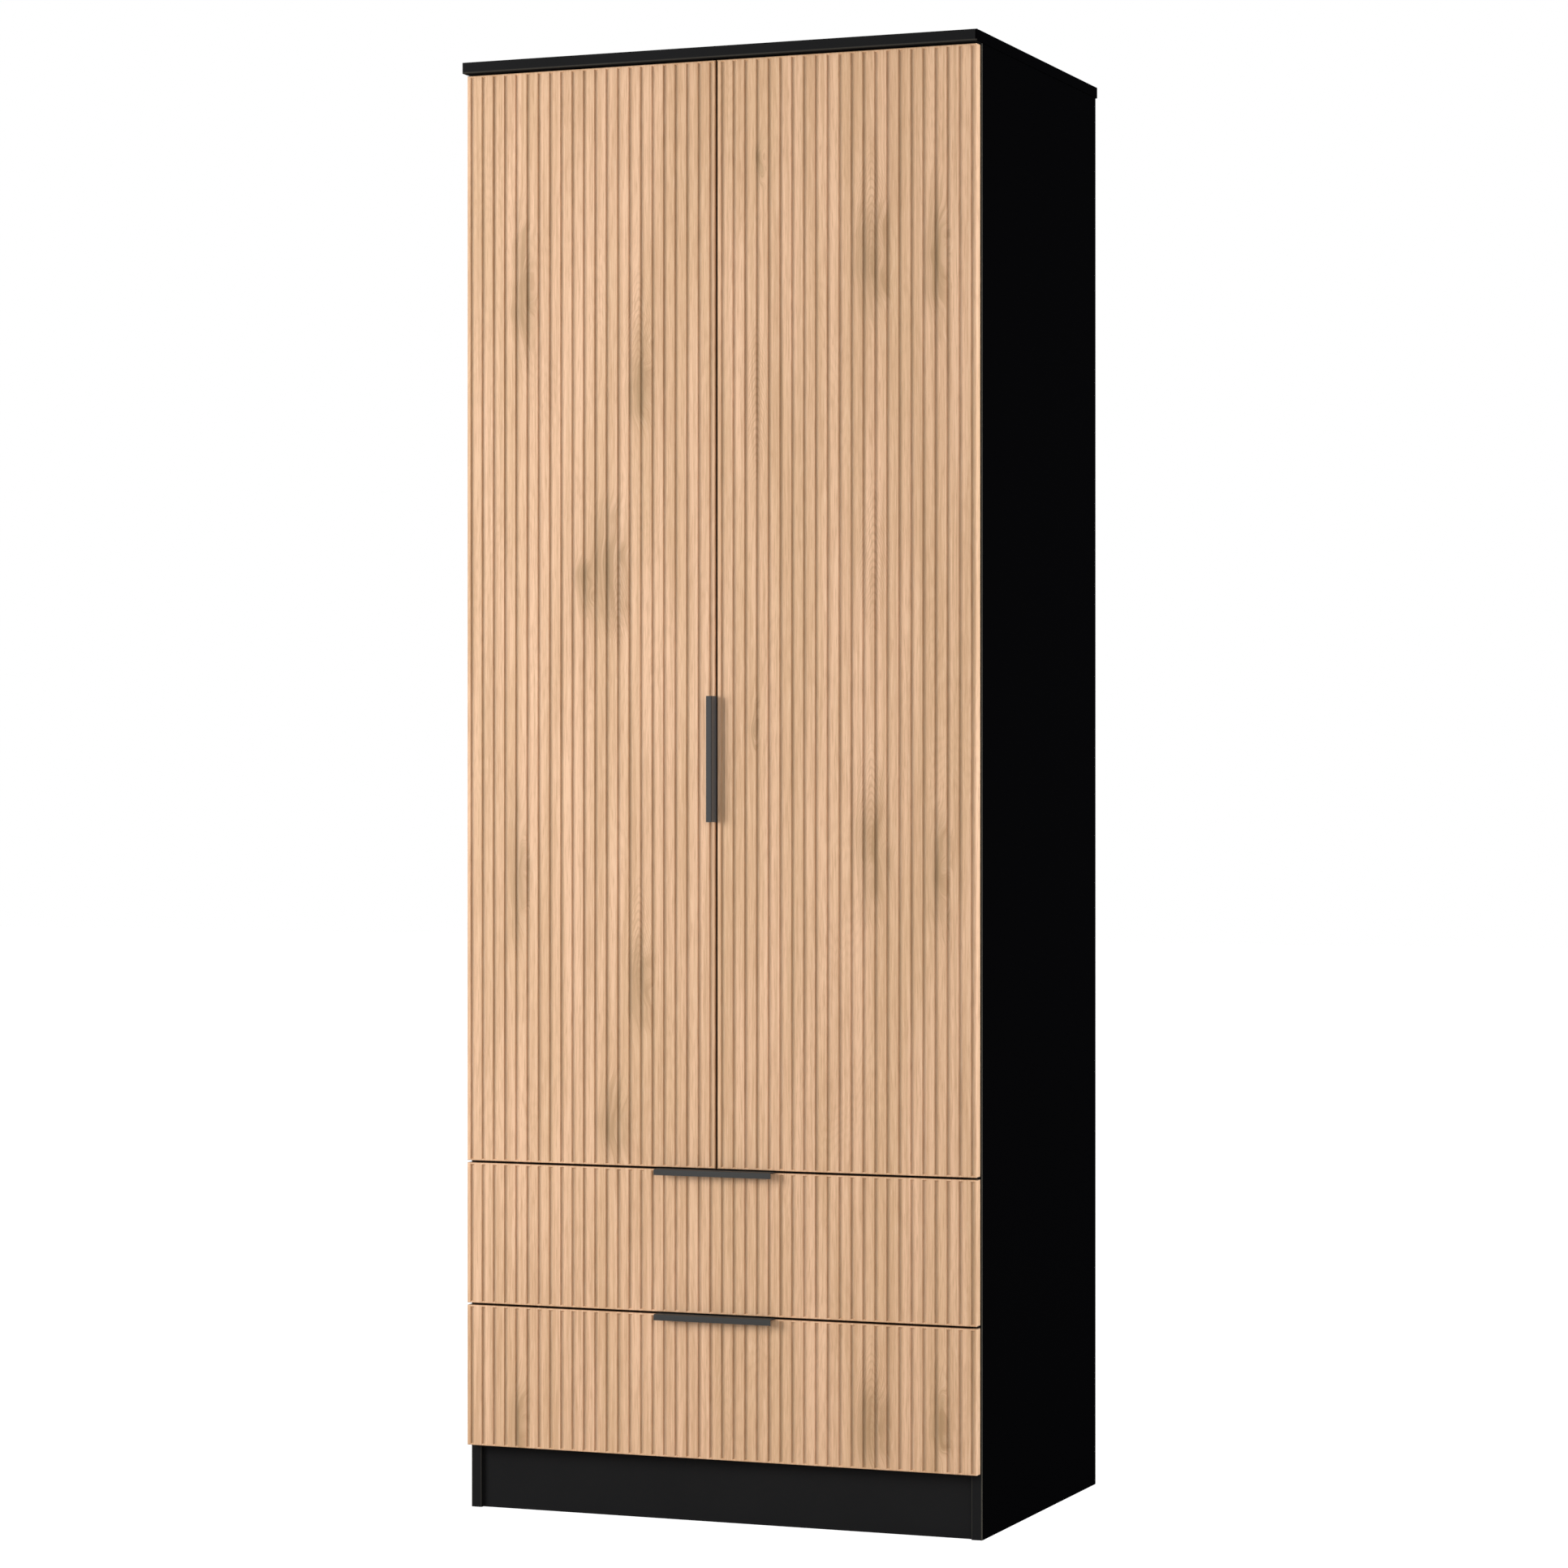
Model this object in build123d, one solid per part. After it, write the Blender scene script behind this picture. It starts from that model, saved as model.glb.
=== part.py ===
"""Tall wardrobe: two grooved doors over two grooved drawers in a plain board carcass.

X runs to the viewer's right, the fronts face -Y and Z is up. The origin is the middle of the bounding
box at floor level. All lengths are millimetres.

Two local directions make the fittings easier to read. Both are measured at the left side panel and
mirrored for the right one: "in" runs inward from that panel, and "ahead" runs forward of the
carcass's front edges.
"""
import os
from math import cos, pi

from build123d import *

# ---------------------------------------------------------------- carcass
HEIGHT = 1970.0
CARCASS_WIDTH = 737.0
CARCASS_DEPTH = 494.0
BOARD = 15.0
EDGE_BAND_RADIUS = 1.0
TOP_SIDE_OVERHANG = 1.5
TOP_FRONT_OVERHANG = 27.0
TOP_REAR_OVERHANG = 3.0
TOP_ARRIS = 2.0
PLINTH_HEIGHT = 85.0
PLINTH_RECESS = 6.0
REAR_PLINTH_INSET = 20.0
BACK_THICKNESS = 3.0
BACK_REBATE = 8.0
BACK_CLEARANCE = 0.2

# ---------------------------------------------------------------- doors and drawer fronts
FRONT_THICKNESS = 16.0
FRONT_ARRIS = 2.5
BEHIND_FRONTS = 2.0
SIDE_REVEAL = 2.0
TOP_REVEAL = 2.5
BOTTOM_REVEAL = 2.0
DOOR_GAP = 2.5
FRONT_GAP = 3.0
DRAWER_FRONT_HEIGHT = 191.0
DRAWER_OVERLAP = 6.0
GROOVE_COUNT = 44
GROOVE_PITCH = 16.76
GROOVE_WIDTH = 7.0
GROOVE_BOTTOM_WIDTH = 3.0
GROOVE_DEPTH = 2.5
GROOVE_END_MARGIN = 4.0

# ---------------------------------------------------------------- lip handles
HANDLE_LENGTH = 168.0
HANDLE_SHEET = 1.2
HANDLE_REACH = 15.0
HANDLE_LIP = 8.0
HANDLE_LEG = 20.0
HANDLE_BEND = 0.4
DOOR_HANDLE_HEIGHT = 1021.0
HANDLE_SCREW_SPACING = 112.0
HANDLE_SCREW_LINE = 13.0

# ---------------------------------------------------------------- hat shelf and hanging rail
HAT_SPACE = 300.0
SHELF_SETBACK = 17.0
SHELF_CLEARANCE = 0.5
SHELF_PIN_RADIUS = 2.5
SHELF_PIN_LENGTH = 16.0
SHELF_PIN_FROM_EDGE = 45.0
RAIL_DROP = 55.0
RAIL_HEIGHT = 30.0
RAIL_WIDTH = 15.0
RAIL_WALL = 1.0
RAIL_SOCKET_WALL = 2.0
RAIL_SOCKET_DEPTH = 14.0
RAIL_FIT = 0.2
RAIL_END_PLAY = 0.3
RAIL_PLATE_RIM = 1.5
RAIL_BRACKET_SCREW_OFFSET = 23.0

# ---------------------------------------------------------------- single-pin cup hinges
HINGE_END_DISTANCE = 100.0
PIN_FROM_DOOR_EDGE = 7.0
PIN_FROM_DOOR_FACE = 7.5
PIN_RADIUS = 1.25
PIN_IN_LUG = 4.0
EYE_RADIUS = 2.4
HINGE_FIT = 0.08
HINGE_CLEARANCE = 0.3
CUP_RADIUS = 17.5
CUP_WALL = 0.8
CUP_FROM_DOOR_EDGE = 3.0
CUP_FLANGE = 0.8
CUP_RIM = 1.5
CUP_SCREW_SPREAD = 45.0
CUP_SCREW_OFFSET = 9.5
CUP_WING = 13.0
CUP_FLANGE_TRIM = 1.5
ARM_SHEET = 1.6
ARM_WIDTH = 14.0
NECK_WIDTH = 8.0
ARM_INWARD = 20.5
ARM_LENGTH = 62.0
CHANNEL_START = 10.0
ARM_SCREW_FROM_END = 12.0
ARM_SCREW_SPACING = 24.0
ARM_SCREW_LENGTH = 4.0
PLATE_HOLE_LINE = 37.0
PLATE_HOLE_SPACING = 32.0
PLATE_THICKNESS = 2.5
PLATE_WIDTH = 11.0
PLATE_RIB_FROM_FRONT = 6.0
PLATE_RIB_FROM_REAR = 4.0

# ---------------------------------------------------------------- drawer boxes
DRAWER_SIDE = 12.0
DRAWER_BOX_HEIGHT = 140.0
DRAWER_BACK_CLEARANCE = 43.0
DRAWER_BOTTOM = 3.0
DRAWER_BOTTOM_RISE = 10.0
DRAWER_GROOVE = 6.0
DRAWER_GROOVE_FIT = 0.1
DRAWER_GROOVE_PLAY = 0.2

# ---------------------------------------------------------------- roller runners
RUNNER_ABOVE_BASE = 14.0
RUNNER_SPACE = 12.5
RUNNER_SHEET = 1.2
RUNNER_BACK_CLEARANCE = 39.0
RUNNER_SETBACK = 2.0
RUNNER_BEHIND_FRONT = 1.0
RUNNER_TRACK = 10.4
RUNNER_LIP = 2.0
COVER_WIDTH = 9.9
COVER_FROM_ROLLER = 5.0
STOP_WIDTH = 8.4
STOP_RISE = 4.0
STOP_CLEARANCE = 0.3
FLANGE_HEADROOM = 1.0
DRAWER_FOOT_RISE = 0.5
FOOT_FROM_INNER_FACE = 1.5
ROLLER_WIDTH = 5.5
ROLLER_OFFSET = 2.9
CABINET_ROLLER_RADIUS = 7.5
DRAWER_ROLLER_RADIUS = 7.0
ROLLER_PIN_RADIUS = 2.0
ROLLER_CLEARANCE = 0.1
ROLLER_FIT = 0.08
ROLLER_PIN_STAND = 0.2
CHANNEL_HEADROOM = 0.4
CABINET_ROLLER_FROM_FRONT = 14.0
DRAWER_ROLLER_FROM_REAR = 11.0
DRAWER_TRAVEL = 340.0
RUNNER_SCREW_FROM_REAR = 60.0
DRAWER_SCREW_FROM_END = 40.0
DRAWER_SCREW_HEAD_RADIUS = 2.6

# ---------------------------------------------------------------- fasteners
DOWEL_RADIUS = 4.0
DOWEL_LENGTH = 30.0
DOWEL_IN_PANEL = 10.0
DOWEL_FROM_EDGE = 40.0
DRAWER_DOWEL_RADIUS = 3.0
DRAWER_DOWEL_LENGTH = 25.0
DRAWER_DOWEL_IN_FRONT = 9.0
DRAWER_DOWEL_IN_SIDE = 8.0
DRAWER_DOWEL_FROM_TOP = 30.0
DRAWER_DOWEL_FROM_BOTTOM = 40.0
SCREW_HEAD_RADIUS = 3.0
SCREW_HEAD_HEIGHT = 1.2
SCREW_RADIUS = 1.6
WOOD_SCREW_LENGTH = 11.0
HANDLE_SCREW_LENGTH = 9.0
NAIL_RADIUS = 0.8
NAIL_HEAD_RADIUS = 2.2
NAIL_LENGTH = 16.0
NAIL_HEAD_HEIGHT = 0.6
NAILS_PER_SIDE = 4

# ---------------------------------------------------------------- flats on small round pieces
PIN_SIDES = 6
OVAL_SIDES = 12
WHEEL_SIDES = 12
HEAD_SIDES = 6
SHANK_SIDES = 3

# ---------------------------------------------------------------- levels and planes worked out
TOTAL_DEPTH = HANDLE_REACH + FRONT_THICKNESS + BEHIND_FRONTS + CARCASS_DEPTH + TOP_REAR_OVERHANG
HALF = CARCASS_WIDTH / 2
INNER_HALF = HALF - BOARD
FACE_Y = HANDLE_REACH - TOTAL_DEPTH / 2
FRONT_BACK_Y = FACE_Y + FRONT_THICKNESS
CARCASS_FRONT_Y = FRONT_BACK_Y + BEHIND_FRONTS
CARCASS_BACK_Y = CARCASS_FRONT_Y + CARCASS_DEPTH
INNER_BACK_Y = CARCASS_BACK_Y - BACK_THICKNESS
SIDE_TOP = HEIGHT - BOARD
BASE_TOP = PLINTH_HEIGHT + BOARD
FRONT_HALF = HALF - SIDE_REVEAL
LOWER_FRONT_Z = PLINTH_HEIGHT + BOTTOM_REVEAL
UPPER_FRONT_Z = LOWER_FRONT_Z + DRAWER_FRONT_HEIGHT + FRONT_GAP
UPPER_FRONT_TOP = UPPER_FRONT_Z + DRAWER_FRONT_HEIGHT
MIDDLE_UNDERSIDE = UPPER_FRONT_TOP - DRAWER_OVERLAP
MIDDLE_TOP = MIDDLE_UNDERSIDE + BOARD
DOOR_Z = UPPER_FRONT_TOP + FRONT_GAP
DOOR_TOP = SIDE_TOP - TOP_REVEAL
SHELF_TOP = SIDE_TOP - HAT_SPACE
SHELF_UNDERSIDE = SHELF_TOP - BOARD
SHELF_FRONT_Y = CARCASS_FRONT_Y + SHELF_SETBACK
SHELF_BACK_Y = INNER_BACK_Y - SHELF_CLEARANCE
RAIL_Z = SHELF_UNDERSIDE - RAIL_DROP
RAIL_Y = (CARCASS_FRONT_Y + INNER_BACK_Y) / 2
HINGE_LEVELS = [DOOR_Z + HINGE_END_DISTANCE, (DOOR_Z + DOOR_TOP) / 2, DOOR_TOP - HINGE_END_DISTANCE]
PIN_IN = SIDE_REVEAL + PIN_FROM_DOOR_EDGE
PIN_AHEAD = BEHIND_FRONTS + FRONT_THICKNESS - PIN_FROM_DOOR_FACE
CUP_IN = SIDE_REVEAL + CUP_FROM_DOOR_EDGE + CUP_RADIUS
CUP_FLOOR_AHEAD = PIN_AHEAD + EYE_RADIUS + HINGE_CLEARANCE
CHANNEL_HEIGHT = 2 * DRAWER_ROLLER_RADIUS + ROLLER_CLEARANCE + CHANNEL_HEADROOM
DRAWER_ROLLER_RISE = RUNNER_SHEET + ROLLER_CLEARANCE + DRAWER_ROLLER_RADIUS
RUNNER_UPPER_FLANGE = RUNNER_SHEET + CHANNEL_HEIGHT
DRAWER_FLANGE_RISE = RUNNER_UPPER_FLANGE + RUNNER_SHEET + FLANGE_HEADROOM
CABINET_ROLLER_RISE = DRAWER_FLANGE_RISE - ROLLER_CLEARANCE - CABINET_ROLLER_RADIUS
DRAWER_BOX_RISE = DRAWER_FOOT_RISE + RUNNER_SHEET
RUNNER_FRONT_Y = CARCASS_FRONT_Y + RUNNER_SETBACK
RUNNER_BACK_Y = INNER_BACK_Y - RUNNER_BACK_CLEARANCE
CABINET_ROLLER_Y = CARCASS_FRONT_Y + CABINET_ROLLER_FROM_FRONT
DRAWER_BACK_Y = INNER_BACK_Y - DRAWER_BACK_CLEARANCE
DRAWER_ROLLER_Y = DRAWER_BACK_Y - DRAWER_ROLLER_FROM_REAR
DRAWER_HALF = INNER_HALF - RUNNER_SPACE
DRAWER_INNER_HALF = DRAWER_HALF - DRAWER_SIDE
LOWER_RUNNER_Z = BASE_TOP + RUNNER_ABOVE_BASE
UPPER_RUNNER_Z = LOWER_RUNNER_Z + DRAWER_FRONT_HEIGHT + FRONT_GAP


# ---------------------------------------------------------------- helpers
def block(x, y, z):
    """Box between the limits x, y and z, each a pair in any order."""
    low = [min(pair) for pair in (x, y, z)]
    size = [abs(pair[1] - pair[0]) for pair in (x, y, z)]
    return Pos(*low) * Box(*size, align=(Align.MIN, Align.MIN, Align.MIN))


def peg(start, end, radius, sides=HEAD_SIDES):
    """Round piece drawn with flats, for pins, wheels, dowels, nails and screws."""
    axis = Vector(*end) - Vector(*start)
    outline = Plane(origin=start, z_dir=axis) * RegularPolygon(radius, sides)
    return extrude(outline, axis.length)


def hole(start, end, radius, sides=PIN_SIDES):
    """Tool for a bore whose flats all lie at least radius from its axis."""
    return peg(start, end, radius / cos(pi / sides), sides)


def mirrored(shape):
    """The same shape on the other side of the wardrobe's middle plane."""
    return mirror(shape, about=Plane.YZ)


def mirrored_all(shapes):
    """The mirror image of each shape."""
    return [mirrored(shape) for shape in shapes]


def both_sides(shapes):
    """Each shape with its mirror image."""
    return list(shapes) + mirrored_all(shapes)


def bored(shape, tools):
    """Shape with the given fasteners' volumes taken out."""
    for tool in tools:
        shape = shape - tool
    return shape


def screw(head_base, direction, length, head_radius=SCREW_HEAD_RADIUS):
    """Pan-head screw: the head stands on head_base, the shank runs the other way along direction."""
    base = Vector(*head_base)
    along = Vector(*direction)
    head = peg(base, base - along * SCREW_HEAD_HEIGHT, head_radius)
    return head + peg(base, base + along * length, SCREW_RADIUS, SHANK_SIDES)


def save(name, shapes):
    """Write one node, which may hold several separate solids."""
    solids = shapes if isinstance(shapes, list) else [shapes]
    found = [solid for shape in solids for solid in shape.solids()]
    export_step(found[0] if len(found) == 1 else Compound(found), f"parts/{name}.step")


def inward(distance):
    """X of a place at the left side panel, measured inward from its outer face."""
    return distance - HALF


def ahead(distance):
    """Y of a place measured forward of the carcass's front edges."""
    return CARCASS_FRONT_Y - distance


# ---------------------------------------------------------------- fasteners of the carcass
def carcass_dowels():
    """Wooden dowels that join the sides to the top, the base, the middle panel and the plinths."""
    rows = [CARCASS_FRONT_Y + DOWEL_FROM_EDGE, INNER_BACK_Y - DOWEL_FROM_EDGE]
    dowels = []
    for level in (PLINTH_HEIGHT + BOARD / 2, MIDDLE_UNDERSIDE + BOARD / 2):
        for row in rows:
            tip = (-INNER_HALF - DOWEL_IN_PANEL, row, level)
            dowels.append(peg(tip, (tip[0] + DOWEL_LENGTH, row, level), DOWEL_RADIUS))
    for row in rows:
        top = (-HALF + BOARD / 2, row, SIDE_TOP + DOWEL_IN_PANEL)
        dowels.append(peg((top[0], row, top[2] - DOWEL_LENGTH), top, DOWEL_RADIUS))
    for row in (CARCASS_FRONT_Y + PLINTH_RECESS + BOARD / 2, rear_plinth_y() + BOARD / 2):
        tip = (-INNER_HALF - DOWEL_IN_PANEL, row, PLINTH_HEIGHT / 2)
        dowels.append(peg(tip, (tip[0] + DOWEL_LENGTH, row, tip[2]), DOWEL_RADIUS))
    return both_sides(dowels)


def rear_plinth_y():
    """Front face of the rear plinth board."""
    return INNER_BACK_Y - REAR_PLINTH_INSET - BOARD


def back_nails():
    """Nails through the back panel into the sides and into the rear edges of the fixed panels."""
    nails = []
    column = -INNER_HALF - BACK_REBATE / 2
    spacing = (SIDE_TOP - PLINTH_HEIGHT) / NAILS_PER_SIDE
    places = [(column, PLINTH_HEIGHT + (step + 0.5) * spacing) for step in range(NAILS_PER_SIDE)]
    places += [(column / 2, level + BOARD / 2) for level in (PLINTH_HEIGHT, MIDDLE_UNDERSIDE)]
    for x, z in places:
        seat = (x, CARCASS_BACK_Y, z)
        head = peg(seat, (x, CARCASS_BACK_Y + NAIL_HEAD_HEIGHT, z), NAIL_HEAD_RADIUS)
        nails.append(head + peg(seat, (x, CARCASS_BACK_Y - NAIL_LENGTH, z), NAIL_RADIUS, SHANK_SIDES))
    return both_sides(nails)


def shelf_pins():
    """Pins in the side panels that the hat shelf lies on."""
    level = SHELF_UNDERSIDE - SHELF_PIN_RADIUS
    half_length = SHELF_PIN_LENGTH / 2
    pins = []
    for row in (SHELF_FRONT_Y + SHELF_PIN_FROM_EDGE, SHELF_BACK_Y - SHELF_PIN_FROM_EDGE):
        outer = (-INNER_HALF - half_length, row, level)
        pins.append(peg(outer, (outer[0] + SHELF_PIN_LENGTH, row, level), SHELF_PIN_RADIUS))
    return both_sides(pins)


# ---------------------------------------------------------------- hanging rail
def oval(height, width):
    """Upright oval outline in the YZ plane, its round ends drawn with flats."""
    end = RegularPolygon(width / 2 / cos(pi / OVAL_SIDES), OVAL_SIDES, rotation=180 / OVAL_SIDES)
    rise = (height - width) / 2
    return Plane.YZ * (Rectangle(width, 2 * rise) + Pos(0, rise) * end + Pos(0, -rise) * end)


def rail_bracket(screws):
    """Oval wall plate with a socket that takes the end of the left end of the rail."""
    plate_height = 2 * RAIL_BRACKET_SCREW_OFFSET + 4 * SCREW_HEAD_RADIUS
    hollow_height, hollow_width = RAIL_HEIGHT + RAIL_FIT, RAIL_WIDTH + RAIL_FIT
    height, width = hollow_height + 2 * RAIL_SOCKET_WALL, hollow_width + 2 * RAIL_SOCKET_WALL
    plate = extrude(oval(plate_height, width + 2 * RAIL_PLATE_RIM), RAIL_SOCKET_WALL)
    socket = extrude(oval(height, width), RAIL_SOCKET_DEPTH)
    hollow = extrude(oval(hollow_height, hollow_width), RAIL_SOCKET_DEPTH)
    bracket = plate + socket - Pos(RAIL_SOCKET_WALL, 0, 0) * hollow
    return bored(Pos(-INNER_HALF, RAIL_Y, RAIL_Z) * bracket, screws)


def rail_bracket_screws():
    """Two screws through the left bracket, above and below its socket."""
    x = -INNER_HALF + RAIL_SOCKET_WALL
    levels = [RAIL_Z - RAIL_BRACKET_SCREW_OFFSET, RAIL_Z + RAIL_BRACKET_SCREW_OFFSET]
    return [screw((x, RAIL_Y, level), (-1, 0, 0), WOOD_SCREW_LENGTH) for level in levels]


def hanging_rail():
    """Oval steel tube between the brackets' sockets."""
    half_length = INNER_HALF - RAIL_SOCKET_WALL - RAIL_END_PLAY
    tube = extrude(oval(RAIL_HEIGHT, RAIL_WIDTH), half_length, both=True)
    bore = extrude(oval(RAIL_HEIGHT - 2 * RAIL_WALL, RAIL_WIDTH - 2 * RAIL_WALL), half_length, both=True)
    return Pos(0, RAIL_Y, RAIL_Z) * (tube - bore)


# ---------------------------------------------------------------- hinges, all at the left side panel
def hinge_pin(level):
    """Steel pin that the door turns on, held in the cup's two lugs."""
    half_length = NECK_WIDTH / 2 + HINGE_CLEARANCE + PIN_IN_LUG
    x, y = inward(PIN_IN), ahead(PIN_AHEAD)
    return peg((x, y, level - half_length), (x, y, level + half_length), PIN_RADIUS, PIN_SIDES)


def cup_bore(level):
    """Blind bore in the back of the door that the cup fills."""
    x = inward(CUP_IN)
    base, end = ahead(BEHIND_FRONTS), ahead(CUP_FLOOR_AHEAD + CUP_WALL)
    return hole((x, base, level), (x, end, level), CUP_RADIUS, WHEEL_SIDES)


def cup_screws(level):
    """Two screws through the cup's flange into the door."""
    x = inward(CUP_IN + CUP_SCREW_OFFSET)
    levels = [level - CUP_SCREW_SPREAD / 2, level + CUP_SCREW_SPREAD / 2]
    return [screw((x, ahead(BEHIND_FRONTS - CUP_FLANGE), z), (0, -1, 0), WOOD_SCREW_LENGTH) for z in levels]


def hinge_cup(level):
    """Round cup with a screw flange, and two lugs inside that hold the pin."""
    x, z = inward(CUP_IN), level
    back, floor = ahead(BEHIND_FRONTS), ahead(CUP_FLOOR_AHEAD)
    hollow = hole((x, back + CUP_FLANGE, z), (x, floor, z), CUP_RADIUS - CUP_WALL, WHEEL_SIDES)
    rim = hole((x, back, z), (x, back + CUP_FLANGE, z), CUP_RADIUS + CUP_RIM, WHEEL_SIDES)
    wing_in = CUP_IN + CUP_SCREW_OFFSET
    wing_x = (inward(wing_in - CUP_WING / 2), inward(wing_in + CUP_WING / 2))
    wing_half = CUP_SCREW_SPREAD / 2 + CUP_WING / 2
    wing = block(wing_x, (back, back + CUP_FLANGE), (z - wing_half, z + wing_half))
    wing = chamfer(wing.edges().filter_by(Axis.Y), CUP_WING / 4)
    trimmed = SIDE_REVEAL + CUP_FROM_DOOR_EDGE + CUP_FLANGE_TRIM
    near_side = block((inward(0), inward(trimmed)), (back, back + CUP_FLANGE), (z - CUP_IN, z + CUP_IN))
    flange = rim + wing - near_side
    lug_inner = NECK_WIDTH / 2 + HINGE_CLEARANCE
    lug_x = (inward(PIN_IN - 2 * EYE_RADIUS), inward(PIN_IN + EYE_RADIUS))
    lug_y = (ahead(PIN_AHEAD - EYE_RADIUS), floor)
    lugs = [block(lug_x, lug_y, (z + side * lug_inner, z + side * CUP_RADIUS)) for side in (-1, 1)]
    lugs = [lug & hollow for lug in lugs]
    cup = cup_bore(level) + flange - hollow + lugs[0] + lugs[1]
    return bored(cup, [hinge_pin(level)] + cup_screws(level))


def arm_screws(level):
    """Fixing and adjusting screws that hold the arm on its mounting plate."""
    x = inward(ARM_INWARD + ARM_SHEET / 2)
    rear = ahead(-ARM_LENGTH) - ARM_SCREW_FROM_END
    rows = [rear, rear - ARM_SCREW_SPACING]
    return [screw((x, row, level), (-1, 0, 0), ARM_SCREW_LENGTH) for row in rows]


def plate_screws(level):
    """Two screws that hold a mounting plate on the side panel."""
    x = -INNER_HALF + PLATE_THICKNESS
    levels = [level - PLATE_HOLE_SPACING / 2, level + PLATE_HOLE_SPACING / 2]
    return [screw((x, ahead(-PLATE_HOLE_LINE), z), (-1, 0, 0), WOOD_SCREW_LENGTH) for z in levels]


def hinge_plate(level):
    """Cross-shaped mounting plate with a rib that the arm straddles."""
    top = inward(ARM_INWARD - ARM_SHEET / 2)
    wall = -INNER_HALF
    centre = ahead(-PLATE_HOLE_LINE)
    wing_z = (level - (PLATE_HOLE_SPACING + PLATE_WIDTH) / 2, level + (PLATE_HOLE_SPACING + PLATE_WIDTH) / 2)
    wing_y = (centre - PLATE_WIDTH / 2, centre + PLATE_WIDTH / 2)
    wings = block((wall, wall + PLATE_THICKNESS), wing_y, wing_z)
    wings = chamfer(wings.edges().filter_by(Axis.X), PLATE_WIDTH / 4)
    rib_half = ARM_WIDTH / 2 - ARM_SHEET - HINGE_CLEARANCE
    rib_y = (ahead(-CHANNEL_START) + PLATE_RIB_FROM_FRONT, ahead(-ARM_LENGTH) - PLATE_RIB_FROM_REAR)
    rib = block((wall, top), rib_y, (level - rib_half, level + rib_half))
    return bored(wings + rib, plate_screws(level) + arm_screws(level))


def hinge_arm(level):
    """Sheet-steel gooseneck: an eye round the pin, a neck out of the cup and a channel over the plate."""
    x_pin, y_pin = inward(PIN_IN), ahead(PIN_AHEAD)
    inner, outer = inward(ARM_INWARD - ARM_SHEET / 2), inward(ARM_INWARD + ARM_SHEET / 2)
    channel_y = (ahead(-CHANNEL_START), ahead(-ARM_LENGTH))
    near, far = y_pin - ARM_SHEET / 2, y_pin + ARM_SHEET / 2
    half, half_neck = ARM_WIDTH / 2, NECK_WIDTH / 2
    neck_points = [(x_pin, near), (outer - ARM_SHEET, near), (outer, near + ARM_SHEET)]
    neck_points += [(outer, channel_y[0]), (inner, channel_y[0]), (inner, far), (x_pin, far)]
    neck_outline = Polygon(*neck_points, align=None)
    neck = extrude(neck_outline, half_neck, both=True)
    eye = peg((x_pin, y_pin, -half_neck), (x_pin, y_pin, half_neck), EYE_RADIUS, PIN_SIDES)
    shoulder = half - half_neck
    front, rear = channel_y
    web_points = [(-half_neck, front - shoulder), (half_neck, front - shoulder), (half, front)]
    web_points += [(half, rear), (-half, rear), (-half, front)]
    sheet = Plane(origin=(inner, 0, 0), x_dir=(0, 0, -1), z_dir=(1, 0, 0))
    web = extrude(sheet * Polygon(*web_points, align=None), ARM_SHEET)
    flange_x = (-INNER_HALF + PLATE_THICKNESS + HINGE_CLEARANCE, outer)
    flange_y = (channel_y[0] + shoulder, channel_y[1])
    flanges = [block(flange_x, flange_y, (side * half, side * (half - ARM_SHEET))) for side in (-1, 1)]
    arm = neck + eye + web + flanges[0] + flanges[1]
    arm = arm - hole((x_pin, y_pin, -half_neck), (x_pin, y_pin, half_neck), PIN_RADIUS + HINGE_FIT)
    return bored(Pos(0, 0, level) * arm, arm_screws(level))


# ---------------------------------------------------------------- roller runners, all at the left side
def runner_x(distance):
    """X of a place in the left runner space, measured inward from the side panel's inner face."""
    return distance - INNER_HALF


def roller_pin(y, z, start, end):
    """Pin of a runner roller between two distances from the side panel."""
    return peg((runner_x(start), y, z), (runner_x(end), y, z), ROLLER_PIN_RADIUS, PIN_SIDES)


def roller(y, z, radius):
    """Nylon roller bored for its pin."""
    near, far = runner_x(ROLLER_OFFSET), runner_x(ROLLER_OFFSET + ROLLER_WIDTH)
    wheel = peg((near, y, z), (far, y, z), radius, WHEEL_SIDES)
    return wheel - hole((near, y, z), (far, y, z), ROLLER_PIN_RADIUS + ROLLER_FIT)


def runner_screws(level):
    """Screws that hold the left cabinet runner on the side panel."""
    height = level + (RUNNER_SHEET + RUNNER_UPPER_FLANGE) / 2
    rows = [ahead(-PLATE_HOLE_LINE), RUNNER_BACK_Y - RUNNER_SCREW_FROM_REAR]
    return [screw((runner_x(RUNNER_SHEET), row, height), (-1, 0, 0), WOOD_SCREW_LENGTH) for row in rows]


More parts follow.
